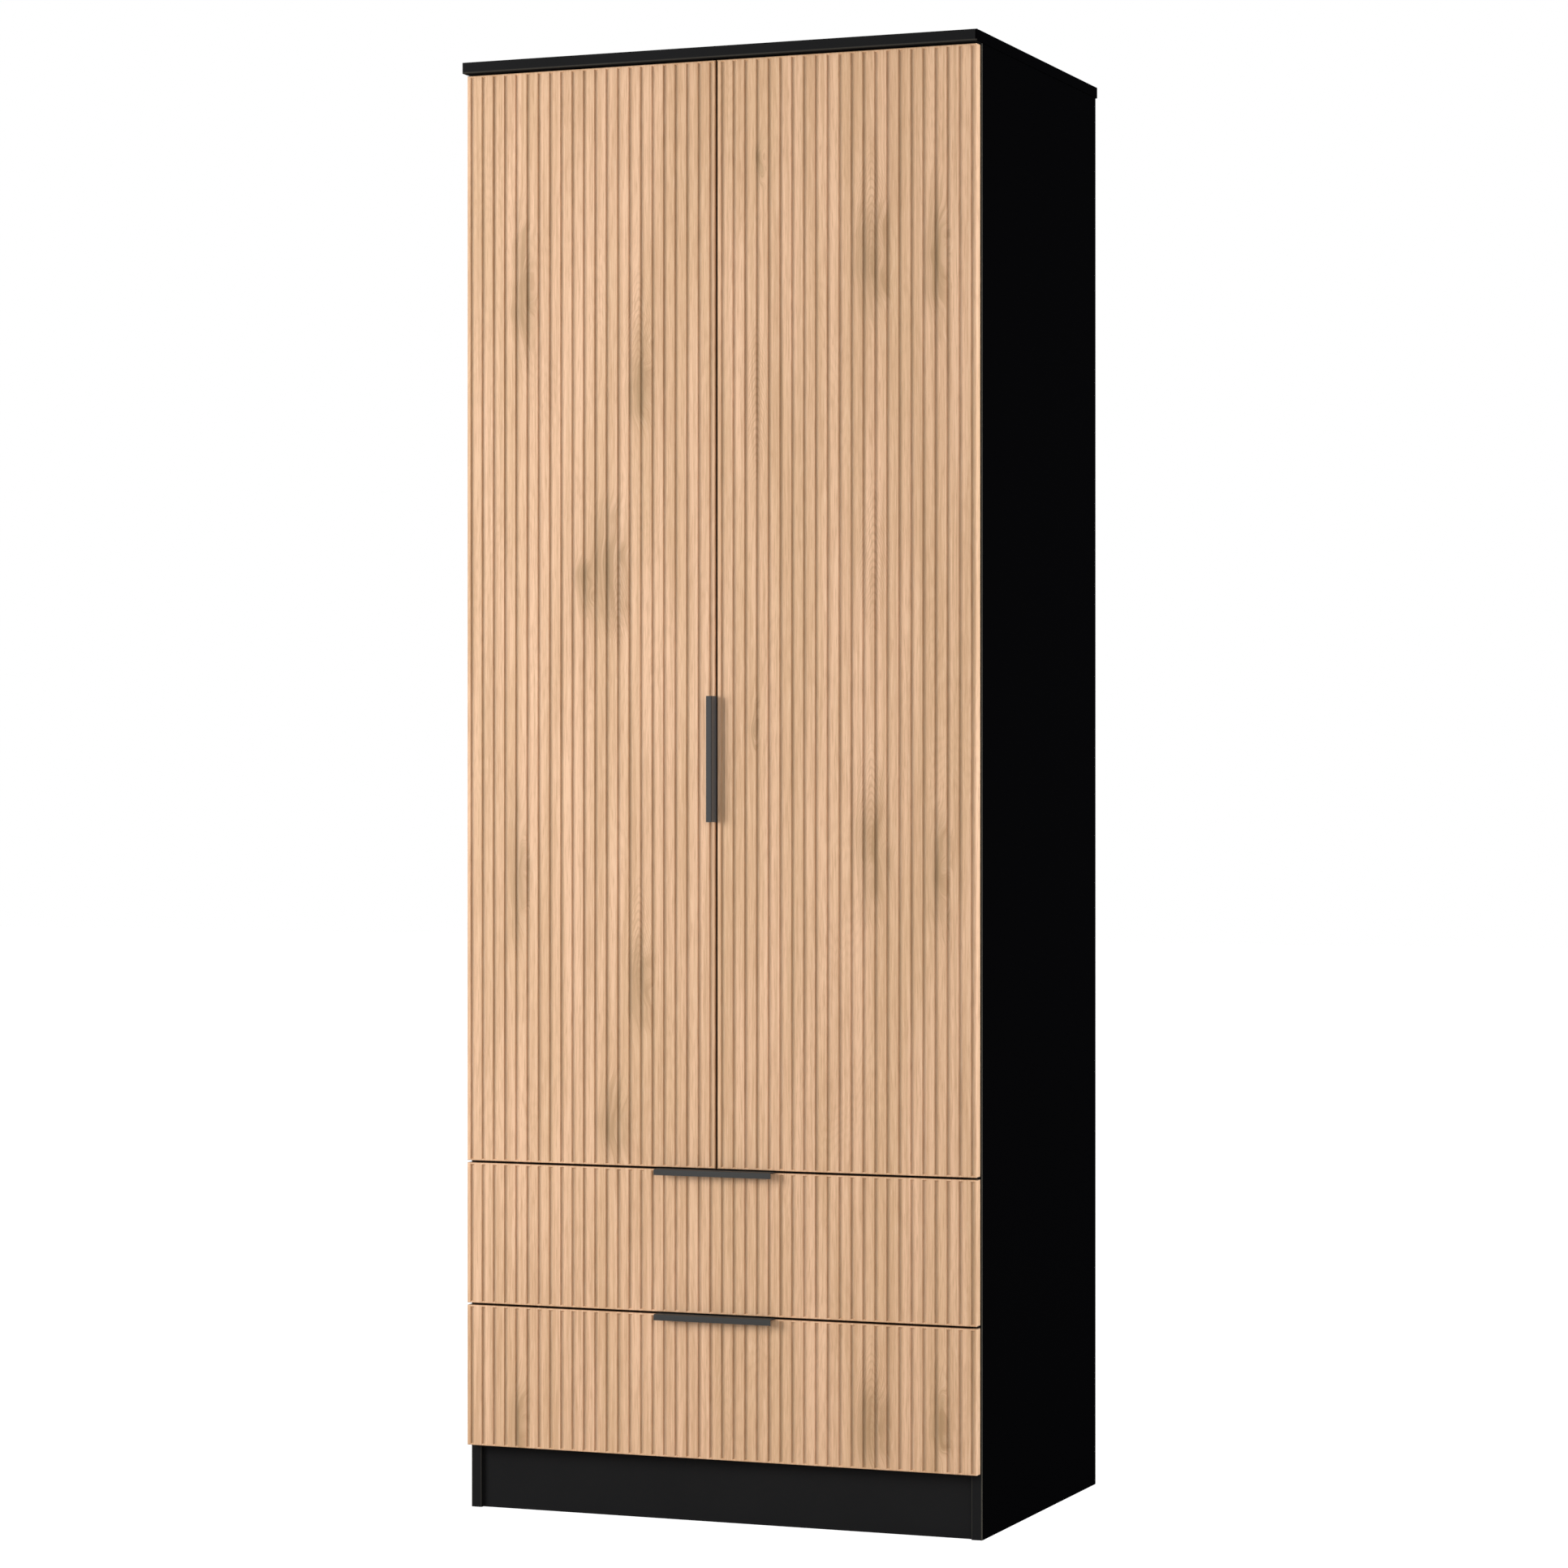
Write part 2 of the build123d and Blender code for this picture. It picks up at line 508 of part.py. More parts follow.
def cabinet_runner(level):
    """Channel on the side panel: track below, cover flange above, fixed roller pin at the front."""
    length = (RUNNER_FRONT_Y, RUNNER_BACK_Y)
    web = block((runner_x(0), runner_x(RUNNER_SHEET)), length, (level, level + RUNNER_UPPER_FLANGE))
    track = block((runner_x(0), runner_x(RUNNER_TRACK)), length, (level, level + RUNNER_SHEET))
    lip_x = (runner_x(RUNNER_TRACK - RUNNER_SHEET), runner_x(RUNNER_TRACK))
    lip = block(lip_x, length, (level, level + RUNNER_SHEET + RUNNER_LIP))
    cover_front = CABINET_ROLLER_Y + CABINET_ROLLER_RADIUS + COVER_FROM_ROLLER
    cover_z = (level + RUNNER_UPPER_FLANGE, level + RUNNER_UPPER_FLANGE + RUNNER_SHEET)
    cover = block((runner_x(0), runner_x(COVER_WIDTH)), (cover_front, length[1]), cover_z)
    reach = (DRAWER_ROLLER_RADIUS ** 2 - STOP_RISE ** 2) ** 0.5 + STOP_CLEARANCE
    stop_y = DRAWER_ROLLER_Y - DRAWER_TRAVEL - reach
    stop_z = (level + DRAWER_ROLLER_RISE + STOP_RISE, cover_z[0])
    stop = block((runner_x(0), runner_x(STOP_WIDTH)), (stop_y - RUNNER_SHEET, stop_y), stop_z)
    pin_end = ROLLER_OFFSET + ROLLER_WIDTH + ROLLER_PIN_STAND
    pin = roller_pin(CABINET_ROLLER_Y, level + CABINET_ROLLER_RISE, 0, pin_end)
    return bored(web + track + lip + cover + stop + pin, runner_screws(level))


def drawer_runner_screws(level):
    """Screws up through the drawer runner's foot into the left side board."""
    x = -DRAWER_HALF + DRAWER_SIDE / 2
    z = level + DRAWER_FOOT_RISE
    rows = [FRONT_BACK_Y + DRAWER_SCREW_FROM_END, DRAWER_BACK_Y - DRAWER_SCREW_FROM_END]
    return [screw((x, row, z), (0, 0, 1), WOOD_SCREW_LENGTH, DRAWER_SCREW_HEAD_RADIUS) for row in rows]


def drawer_runner(level):
    """Angle under the drawer side: outer flange that rides on the cabinet roller, and a rear pin."""
    length = (FRONT_BACK_Y + RUNNER_BEHIND_FRONT, DRAWER_BACK_Y)
    outer, inner = runner_x(RUNNER_SPACE - RUNNER_SHEET), runner_x(RUNNER_SPACE)
    flange_z = (level + DRAWER_FLANGE_RISE, level + DRAWER_FLANGE_RISE + RUNNER_SHEET)
    plate = block((outer, inner), length, (level + DRAWER_FOOT_RISE, flange_z[1]))
    flange = block((runner_x(ROLLER_OFFSET), outer), length, flange_z)
    foot_z = (level + DRAWER_FOOT_RISE, level + DRAWER_BOX_RISE)
    foot = block((outer, -DRAWER_INNER_HALF - FOOT_FROM_INNER_FACE), length, foot_z)
    pin_start = ROLLER_OFFSET - ROLLER_PIN_STAND
    pin = roller_pin(DRAWER_ROLLER_Y, level + DRAWER_ROLLER_RISE, pin_start, RUNNER_SPACE)
    return bored(plate + flange + foot + pin, drawer_runner_screws(level))


# ---------------------------------------------------------------- doors and drawer fronts
def groove_cutter(z):
    """Cutter of one groove at X=0: a cove in three flats that stops short of both ends of a front."""
    half_bottom = GROOVE_BOTTOM_WIDTH / 2
    wide = GROOVE_WIDTH - half_bottom
    front, bottom = FACE_Y - GROOVE_DEPTH, FACE_Y + GROOVE_DEPTH
    corners = [(-wide, front), (wide, front), (half_bottom, bottom), (-half_bottom, bottom)]
    cutter = extrude(Polygon(*corners, align=None), z[1] - z[0] - 2 * GROOVE_END_MARGIN)
    return Pos(0, 0, z[0] + GROOVE_END_MARGIN) * cutter


def grooved_front(x, z, places):
    """Board with a rounded arris round its face and grooves that end short of its top and bottom."""
    blank = block(x, (FACE_Y, FRONT_BACK_Y), z)
    blank = fillet(blank.faces().sort_by(Axis.Y)[0].edges(), FRONT_ARRIS)
    cutter = groove_cutter(z)
    return blank - [Pos(place, 0, 0) * cutter for place in places]


def groove_places():
    """X of every groove, evenly spaced about the middle of the wardrobe."""
    return [(index - (GROOVE_COUNT - 1) / 2) * GROOVE_PITCH for index in range(GROOVE_COUNT)]


def door_panel(fasteners):
    """Left door: grooved outside, bored inside for its hinge cups and screws."""
    places = [place for place in groove_places() if place < 0]
    panel = grooved_front((-FRONT_HALF, -DOOR_GAP / 2), (DOOR_Z, DOOR_TOP), places)
    hinge_edge = panel.edges().filter_by(Axis.Z).group_by(Axis.X)[0].sort_by(Axis.Y)[-1]
    panel = fillet(hinge_edge, FRONT_ARRIS)
    return bored(panel, [cup_bore(level) for level in HINGE_LEVELS] + fasteners)


# ---------------------------------------------------------------- lip handles
def lip_handle():
    """Handle bar along Z: its leg's back plane is y=0, its web's outer face x=0, the lip is at -y."""
    depth = HANDLE_SHEET + FRONT_THICKNESS + HANDLE_REACH
    leg = block((-HANDLE_LEG, 0), (0, -HANDLE_SHEET), (0, HANDLE_LENGTH))
    web = block((-HANDLE_SHEET, 0), (0, -depth), (0, HANDLE_LENGTH))
    lip = block((-HANDLE_LIP, 0), (-depth, -depth + HANDLE_SHEET), (0, HANDLE_LENGTH))
    bar = leg + web + lip
    bends = bar.edges().filter_by(Axis.Z).group_by(Axis.X)[-1]
    return Pos(0, 0, -HANDLE_LENGTH / 2) * fillet(bends, HANDLE_BEND)


def door_handle():
    """Handle upright in the gap between the doors, over the left door's edge."""
    place = Pos(HANDLE_SHEET - DOOR_GAP / 2, FRONT_BACK_Y + HANDLE_SHEET, DOOR_HANDLE_HEIGHT)
    return bored(place * lip_handle(), door_handle_screws())


def door_handle_screws():
    """Two screws through the handle's leg into the back of the left door."""
    x = HANDLE_SHEET - DOOR_GAP / 2 - HANDLE_SCREW_LINE
    half = HANDLE_SCREW_SPACING / 2
    levels = [DOOR_HANDLE_HEIGHT - half, DOOR_HANDLE_HEIGHT + half]
    return [screw((x, FRONT_BACK_Y + HANDLE_SHEET, z), (0, -1, 0), HANDLE_SCREW_LENGTH) for z in levels]


def drawer_handle(front_top):
    """The same handle lying over the top edge of a drawer front, its lip hanging down."""
    place = Pos(0, FRONT_BACK_Y + HANDLE_SHEET, front_top + HANDLE_SHEET)
    return bored(place * Rot(0, -90, 0) * lip_handle(), drawer_handle_screws(front_top))


def drawer_handle_screws(front_top):
    """Two screws through the handle's leg into the back of a drawer front."""
    z = front_top + HANDLE_SHEET - HANDLE_SCREW_LINE
    half = HANDLE_SCREW_SPACING / 2
    y = FRONT_BACK_Y + HANDLE_SHEET
    return [screw((x, y, z), (0, -1, 0), HANDLE_SCREW_LENGTH) for x in (-half, half)]


# ---------------------------------------------------------------- drawer boxes
def drawer_dowels(box_z):
    """Dowels at the left corners of a drawer box: two into the front and two into the back board."""
    dowels = []
    for z in (box_z + DRAWER_DOWEL_FROM_BOTTOM, box_z + DRAWER_BOX_HEIGHT - DRAWER_DOWEL_FROM_TOP):
        x = -DRAWER_HALF + DRAWER_SIDE / 2
        tip = FRONT_BACK_Y - DRAWER_DOWEL_IN_FRONT
        dowels.append(peg((x, tip, z), (x, tip + DRAWER_DOWEL_LENGTH, z), DRAWER_DOWEL_RADIUS))
        y = DRAWER_BACK_Y - DRAWER_SIDE / 2
        tip = -DRAWER_INNER_HALF - DRAWER_DOWEL_IN_SIDE
        dowels.append(peg((tip, y, z), (tip + DRAWER_DOWEL_LENGTH, y, z), DRAWER_DOWEL_RADIUS))
    return both_sides(dowels)


def drawer_bottom(box_z, fit=0.0):
    """Thin bottom that slides in the grooves of the sides and the front."""
    tongue = DRAWER_GROOVE - DRAWER_GROOVE_PLAY
    half = DRAWER_INNER_HALF + tongue
    y = (FRONT_BACK_Y - tongue - fit, DRAWER_BACK_Y + fit)
    z = box_z + DRAWER_BOTTOM_RISE
    return block((-half - fit, half + fit), y, (z - fit, z + DRAWER_BOTTOM + fit))


def make_drawer(name, front_z, runner_z):
    """All the pieces of one drawer, with its runners at the left and right."""
    front_top = front_z + DRAWER_FRONT_HEIGHT
    box_z = runner_z + DRAWER_BOX_RISE
    dowels = drawer_dowels(box_z)
    slot = drawer_bottom(box_z, DRAWER_GROOVE_FIT)
    foot_screws = both_sides(drawer_runner_screws(runner_z))
    handle_screws = drawer_handle_screws(front_top)

    front = grooved_front((-FRONT_HALF, FRONT_HALF), (front_z, front_top), groove_places())
    save(f"{name}_front", bored(front, [slot] + dowels + handle_screws))
    save(f"{name}_handle", drawer_handle(front_top))
    save(f"{name}_handle_screws", handle_screws)

    side_z = (box_z, box_z + DRAWER_BOX_HEIGHT)
    side = block((-DRAWER_HALF, -DRAWER_INNER_HALF), (FRONT_BACK_Y, DRAWER_BACK_Y), side_z)
    side = bored(side, [slot] + dowels + foot_screws)
    save(f"{name}_side_left", side)
    save(f"{name}_side_right", mirrored(side))

    back_z = (box_z + DRAWER_BOTTOM_RISE + DRAWER_BOTTOM, box_z + DRAWER_BOX_HEIGHT)
    back_y = (DRAWER_BACK_Y - DRAWER_SIDE, DRAWER_BACK_Y)
    back = block((-DRAWER_INNER_HALF, DRAWER_INNER_HALF), back_y, back_z)
    save(f"{name}_back", bored(back, dowels))
    save(f"{name}_bottom", drawer_bottom(box_z))
    save(f"{name}_dowels", dowels)

    runner = drawer_runner(runner_z)
    save(f"{name}_runner_left", runner)
    save(f"{name}_runner_right", mirrored(runner))
    save(f"{name}_runner_screws", foot_screws)
    wheel = roller(DRAWER_ROLLER_Y, runner_z + DRAWER_ROLLER_RISE, DRAWER_ROLLER_RADIUS)
    save(f"{name}_rollers", both_sides([wheel]))


# ---------------------------------------------------------------- carcass boards
def side_panel(fasteners):
    """Left side panel with a rebate for the back and a rounded edge band at the front."""
    panel = block((-HALF, -INNER_HALF), (CARCASS_FRONT_Y, CARCASS_BACK_Y), (0, SIDE_TOP))
    panel = fillet(panel.edges().filter_by(Axis.Z).group_by(Axis.Y)[0], EDGE_BAND_RADIUS)
    rebate = block((-INNER_HALF - BACK_REBATE, -INNER_HALF), (INNER_BACK_Y, CARCASS_BACK_Y), (0, SIDE_TOP))
    return bored(panel - rebate, fasteners)


def top_panel(fasteners):
    """Top board that overhangs the carcass, with rounded arrises at the front and sides."""
    half = HALF + TOP_SIDE_OVERHANG
    y = (CARCASS_FRONT_Y - TOP_FRONT_OVERHANG, CARCASS_BACK_Y + TOP_REAR_OVERHANG)
    panel = block((-half, half), y, (SIDE_TOP, HEIGHT))
    panel = fillet(panel.faces().sort_by(Axis.Y)[0].edges(), TOP_ARRIS)
    return bored(panel, fasteners)


def make_carcass():
    """The fixed boards with their dowels, nails, shelf pins and the hanging rail."""
    dowels = carcass_dowels()
    nails = back_nails()
    pins = shelf_pins()
    bracket_screws = rail_bracket_screws()
    plate_fixings = [item for level in HINGE_LEVELS for item in plate_screws(level)]
    runner_fixings = runner_screws(LOWER_RUNNER_Z) + runner_screws(UPPER_RUNNER_Z)

    side = side_panel(dowels + nails + pins + bracket_screws + plate_fixings + runner_fixings)
    save("side_panel_left", side)
    save("side_panel_right", mirrored(side))
    save("top_panel", top_panel(dowels))

    inner_x = (-INNER_HALF, INNER_HALF)
    base = block(inner_x, (CARCASS_FRONT_Y, INNER_BACK_Y), (PLINTH_HEIGHT, BASE_TOP))
    middle = block(inner_x, (CARCASS_FRONT_Y, INNER_BACK_Y), (MIDDLE_UNDERSIDE, MIDDLE_TOP))
    save("base_panel", bored(base, dowels + nails))
    save("middle_panel", bored(middle, dowels + nails))
    plinth_y = CARCASS_FRONT_Y + PLINTH_RECESS
    plinth = block(inner_x, (plinth_y, plinth_y + BOARD), (0, PLINTH_HEIGHT))
    save("plinth_front", bored(plinth, dowels))
    rear = block(inner_x, (rear_plinth_y(), rear_plinth_y() + BOARD), (0, PLINTH_HEIGHT))
    save("plinth_rear", bored(rear, dowels))

    back_half = INNER_HALF + BACK_REBATE - BACK_CLEARANCE
    back = block((-back_half, back_half), (INNER_BACK_Y, CARCASS_BACK_Y), (PLINTH_HEIGHT, SIDE_TOP))
    save("back_panel", bored(back, nails))
    save("back_panel_nails", nails)
    save("carcass_dowels", dowels)

    shelf_x = (-INNER_HALF + SHELF_CLEARANCE, INNER_HALF - SHELF_CLEARANCE)
    save("hat_shelf", block(shelf_x, (SHELF_FRONT_Y, SHELF_BACK_Y), (SHELF_UNDERSIDE, SHELF_TOP)))
    save("shelf_pins", pins)
    save("hanging_rail", hanging_rail())
    save("rail_brackets", both_sides([rail_bracket(bracket_screws)]))
    save("rail_bracket_screws", both_sides(bracket_screws))

    for name, level in (("lower", LOWER_RUNNER_Z), ("upper", UPPER_RUNNER_Z)):
        runner = cabinet_runner(level)
        save(f"{name}_cabinet_runner_left", runner)
        save(f"{name}_cabinet_runner_right", mirrored(runner))
        wheel = roller(CABINET_ROLLER_Y, level + CABINET_ROLLER_RISE, CABINET_ROLLER_RADIUS)
        save(f"{name}_cabinet_rollers", both_sides([wheel]))
    save("cabinet_runner_screws", both_sides(runner_fixings))


# ---------------------------------------------------------------- doors with their hinges
def make_doors():
    """Both doors, the handle on the left one, and the hinges' fixed and moving pieces."""
    cup_fixings = [item for level in HINGE_LEVELS for item in cup_screws(level)]
    cups = [hinge_cup(level) for level in HINGE_LEVELS]
    pins = [hinge_pin(level) for level in HINGE_LEVELS]

    save("left_door_panel", door_panel(cup_fixings + door_handle_screws()))
    save("left_door_handle", door_handle())
    save("left_door_handle_screws", door_handle_screws())
    save("right_door_panel", mirrored(door_panel(cup_fixings)))
    for name, placed in (("left", list), ("right", mirrored_all)):
        save(f"{name}_hinge_cups", placed(cups))
        save(f"{name}_hinge_pins", placed(pins))
        save(f"{name}_hinge_cup_screws", placed(cup_fixings))

    save("hinge_arms", both_sides([hinge_arm(level) for level in HINGE_LEVELS]))
    save("hinge_plates", both_sides([hinge_plate(level) for level in HINGE_LEVELS]))
    save("hinge_arm_screws", both_sides([item for level in HINGE_LEVELS for item in arm_screws(level)]))
    save("hinge_plate_screws", both_sides([item for level in HINGE_LEVELS for item in plate_screws(level)]))


os.makedirs("parts", exist_ok=True)
make_carcass()
make_doors()
make_drawer("lower_drawer", LOWER_FRONT_Z, LOWER_RUNNER_Z)
make_drawer("upper_drawer", UPPER_FRONT_Z, UPPER_RUNNER_Z)
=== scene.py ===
"""Looks of a tall wardrobe with two grooved oak doors over two grooved drawers in a black board carcass."""
import math

import bmesh
import bpy
from mathutils import Matrix, Vector


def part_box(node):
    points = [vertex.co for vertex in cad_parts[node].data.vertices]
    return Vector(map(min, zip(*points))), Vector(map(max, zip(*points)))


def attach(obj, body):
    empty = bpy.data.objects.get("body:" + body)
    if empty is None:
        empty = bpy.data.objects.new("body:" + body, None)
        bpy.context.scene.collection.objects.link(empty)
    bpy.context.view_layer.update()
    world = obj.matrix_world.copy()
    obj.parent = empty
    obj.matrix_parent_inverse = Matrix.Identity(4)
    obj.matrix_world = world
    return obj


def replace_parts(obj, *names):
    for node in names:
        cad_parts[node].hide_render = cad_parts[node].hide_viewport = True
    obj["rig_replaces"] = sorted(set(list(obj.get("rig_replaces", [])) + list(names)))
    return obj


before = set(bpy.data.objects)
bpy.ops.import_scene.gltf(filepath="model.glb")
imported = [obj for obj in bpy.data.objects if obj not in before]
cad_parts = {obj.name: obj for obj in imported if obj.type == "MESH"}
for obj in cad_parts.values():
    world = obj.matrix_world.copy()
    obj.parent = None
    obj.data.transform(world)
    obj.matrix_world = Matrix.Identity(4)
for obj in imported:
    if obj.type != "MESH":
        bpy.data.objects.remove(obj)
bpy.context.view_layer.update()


# ---------------------------------------------------------------- camera, lamps and floor
# A level camera stands to the right of the wardrobe and looks at it from far away. The room is plain
# and pale: a wide soft lamp stands at the left, a weak one at the front right and one beside the right side.
LAMPS_AIM_AT = Vector((0, 0, 0.95))


def colour(*display):
    """Linear colour of three display values, each above 10 and up to 255."""
    return tuple(((value / 255 + 0.055) / 1.055) ** 2.4 for value in display) + (1.0,)


def add_node(tree, kind, feeds=(), **settings):
    """Node in a tree, with its settings, and each socket fed by another socket or set to a value."""
    made = tree.nodes.new(kind)
    for name, value in settings.items():
        setattr(made, name, value)
    for socket, value in feeds:
        if isinstance(value, bpy.types.NodeSocket):
            tree.links.new(value, made.inputs[socket])
        else:
            made.inputs[socket].default_value = value
    return made


def maths(tree, operation, *values, **settings):
    """Output of a maths node fed with the given values."""
    return add_node(tree, "ShaderNodeMath", enumerate(values), operation=operation, **settings).outputs[0]


camera_azimuth = math.radians(21.48)
camera_data = bpy.data.cameras.new("studio_camera")
camera_data.lens = 100.16
camera_data.sensor_width = 36.0
camera_data.shift_y = -0.0019
camera_data.clip_end = 60.0
camera = bpy.data.objects.new("studio_camera", camera_data)
camera.location = (2.2132, -5.6262, 0.9918)
camera.rotation_euler = (math.radians(90), 0, camera_azimuth)
bpy.context.scene.collection.objects.link(camera)
bpy.context.scene.camera = camera
bpy.context.scene.view_settings.view_transform = "Standard"

for name, place, size, power in (
    ("key_lamp", (-2.8, -2.65, 1.5), 2.3, 112.0),
    ("fill_lamp", (2.4, -3.6, 1.8), 2.0, 28.0),
    ("side_lamp", (3.6, 0.75, 1.5), 1.6, 95.0),
):
    lamp_data = bpy.data.lights.new(name, "AREA")
    lamp_data.shape = "DISK"
    lamp_data.size = size
    lamp_data.energy = power
    lamp = bpy.data.objects.new(name, lamp_data)
    lamp.location = place
    lamp.rotation_euler = (LAMPS_AIM_AT - Vector(place)).to_track_quat("-Z", "Y").to_euler()
    bpy.context.scene.collection.objects.link(lamp)


def seen_directly(tree):
    """1 for camera, glossy and transmission rays and 0 for the rays that light the object."""
    rays = add_node(tree, "ShaderNodeLightPath").outputs
    first = maths(tree, "MAXIMUM", rays["Is Camera Ray"], rays["Is Glossy Ray"])
    return maths(tree, "MAXIMUM", first, rays["Is Transmission Ray"])


world = bpy.data.worlds.new("studio_room")
bpy.context.scene.world = world
world.use_nodes = True
room = world.node_tree
room.nodes.clear()
soft = add_node(room, "ShaderNodeBackground", (("Color", colour(250, 250, 252)), ("Strength", 0.30)))
white = add_node(room, "ShaderNodeBackground", (("Color", (1, 1, 1, 1)), ("Strength", 1.0)))
shaders = ((0, seen_directly(room)), (1, soft.outputs[0]), (2, white.outputs[0]))
either = add_node(room, "ShaderNodeMixShader", shaders)
add_node(room, "ShaderNodeOutputWorld", (("Surface", either.outputs[0]),))

bpy.ops.object.select_all(action="DESELECT")
bpy.ops.mesh.primitive_plane_add(size=40.0, location=(0, 0, 0))
floor = bpy.context.object
floor.name = "studio_floor"
floor_paint = bpy.data.materials.new("studio_floor_paint")
floor_paint.use_nodes = True
tree = floor_paint.node_tree
tree.nodes.clear()
matt = add_node(tree, "ShaderNodeBsdfDiffuse", (("Color", (0.55, 0.55, 0.555, 1)),))
glow = add_node(tree, "ShaderNodeEmission", (("Color", (1, 1, 1, 1)), ("Strength", 0.86)))
lit = add_node(tree, "ShaderNodeAddShader", ((0, matt.outputs[0]), (1, glow.outputs[0])))
plain = add_node(tree, "ShaderNodeBsdfDiffuse", (("Color", (0.50, 0.50, 0.50, 1)),))
shaders = ((0, seen_directly(tree)), (1, plain.outputs[0]), (2, lit.outputs[0]))
either = add_node(tree, "ShaderNodeMixShader", shaders)
add_node(tree, "ShaderNodeOutputMaterial", (("Surface", either.outputs[0]),))
floor.data.materials.append(floor_paint)


# ---------------------------------------------------------------- grooved doors and drawer fronts
# Each front is a 16 mm board wrapped in light oak foil, routed with upright coves that stop short of
# its top and bottom edge. One strip with one cove is shaped, repeated along the board and cut to width.
GROOVE_PITCH = 0.01676
GROOVE_COUNT = 44
GROOVE_MOUTH = 0.0056
GROOVE_BED = 0.0048
GROOVE_SHIFT = 0.0017
GROOVE_DEPTH = 0.0025
GROOVE_STOP = 0.0019
GROOVE_END_RUN = 0.0014
COVE_ROUNDING = 0.0003
FRONT_ARRIS = 0.0014
TOUCHING = 1e-6
BORE_SIDES = 64
CUP_BORE_FROM_MIDDLE = 0.346
CUP_BORE_BEFORE_BACK = 0.006
CUP_BORE_RADIUS = 0.0176
CUP_BORE_LENGTH = 0.0125
HINGE_LEVELS = (0.575, 1.21375, 1.8525)
FRONT_FACE = -0.25
GAPS_UNDER_FRONTS = (0.2795, 0.4735)
# Knots and arches of the foil's print: middle across, middle in height, half width, half height.
KNOTS = (
    (-0.283, 1.655, 0.022, 0.110), (-0.111, 1.524, 0.024, 0.075), (-0.156, 1.276, 0.040, 0.095),
    (-0.188, 1.262, 0.022, 0.040), (-0.289, 0.872, 0.022, 0.110), (-0.111, 0.720, 0.024, 0.075),
    (-0.148, 0.528, 0.034, 0.070), (0.223, 1.676, 0.034, 0.085), (0.313, 1.672, 0.022, 0.095),
    (0.065, 1.820, 0.009, 0.038), (0.055, 1.063, 0.008, 0.034), (0.223, 0.905, 0.032, 0.085),
    (0.313, 0.880, 0.022, 0.090), (-0.289, 0.118, 0.018, 0.070), (0.223, 0.140, 0.032, 0.070),
    (0.315, 0.150, 0.016, 0.070),
)
KNOT_WIDENED = 1.1
KNOT_RAISED = 1.35
KNOT_BENDS_GRAIN_BY = 0.016
ARCHES = (
    (-0.110, 1.600, 0.030, 0.120), (-0.140, 1.240, 0.030, 0.090), (0.223, 1.745, 0.034, 0.130),
    (0.226, 1.290, 0.034, 0.140), (0.223, 0.960, 0.034, 0.130), (-0.110, 0.790, 0.028, 0.110),
    (0.223, 0.190, 0.032, 0.110), (0.060, 1.500, 0.024, 0.160),
)
ARCH_STRENGTH = 0.34
ARCH_STEEPNESS = 3.4
ARCH_LINES = 560.0
RINGS_IN_FIELD = 46.0
RING_WOBBLE = 3.0
FULL_TURN = 6.2832


def begin_piece(name, add, scale=(1, 1, 1), **place):
    """Primitive with the given name, alone selected, its place already in its mesh."""
    bpy.ops.object.select_all(action="DESELECT")
    add(**place)
    piece = bpy.context.object
    piece.name = piece.data.name = name
    piece.scale = scale
    bpy.ops.object.transform_apply(location=True, rotation=True, scale=True)
    return piece


def begin_block(name, low, high):
    """Cube primitive stretched between two corners."""
    low, high = Vector(low), Vector(high)
    return begin_piece(name, bpy.ops.mesh.primitive_cube_add, size=1, location=(low + high) / 2, scale=high - low)


def edit(piece):
    """Open a piece for editing with nothing in it selected."""
    bpy.ops.object.select_all(action="DESELECT")
    piece.select_set(True)
    bpy.context.view_layer.objects.active = piece
    bpy.ops.object.mode_set(mode="EDIT")
    bpy.ops.mesh.select_mode(type="FACE")
    bpy.ops.mesh.select_all(action="DESELECT")


def done():
    """Close the piece that is open for editing."""
    bpy.ops.object.mode_set(mode="OBJECT")


def pick(piece, kind, test):
    """Select the faces (middle, normal) or edges (middle, direction) that pass a test, and nothing else."""
    bpy.ops.mesh.select_mode(type="FACE" if kind == "faces" else "EDGE")
    bpy.ops.mesh.select_all(action="DESELECT")
    shape = bmesh.from_edit_mesh(piece.data)
    for part in getattr(shape, kind):
        if kind == "faces":
            chosen = test(part.calc_center_median(), part.normal)
        else:
            ends = [corner.co for corner in part.verts]
            chosen = test((ends[0] + ends[1]) / 2, (ends[1] - ends[0]).normalized())
        part.select_set(bool(chosen))
    shape.select_flush_mode()
    bmesh.update_edit_mesh(piece.data)


def modify(piece, kind, **settings):
    """Add a modifier to a piece and apply it."""
    bpy.ops.object.select_all(action="DESELECT")
    piece.select_set(True)
    bpy.context.view_layer.objects.active = piece
    added = piece.modifiers.new(kind.lower(), kind)
    for name, value in settings.items():
        setattr(added, name, value)
    bpy.ops.object.modifier_apply(modifier=added.name)


def smooth(piece, degrees=35):
    """Merge doubled corners, point every face outwards and shade the soft bends smooth."""
    edit(piece)
    bpy.ops.mesh.select_all(action="SELECT")
    bpy.ops.mesh.remove_doubles(threshold=TOUCHING)
    bpy.ops.mesh.normals_make_consistent(inside=False)
    done()
    bpy.ops.object.shade_smooth_by_angle(angle=math.radians(degrees))
    modify(piece, "WEIGHTED_NORMAL", keep_sharp=True)


def dress(piece, material, body, node):
    """Give a new piece its material, its body and the node that it stands for."""
    piece.data.materials.clear()
    piece.data.materials.append(material)
    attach(piece, body)
    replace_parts(piece, node)


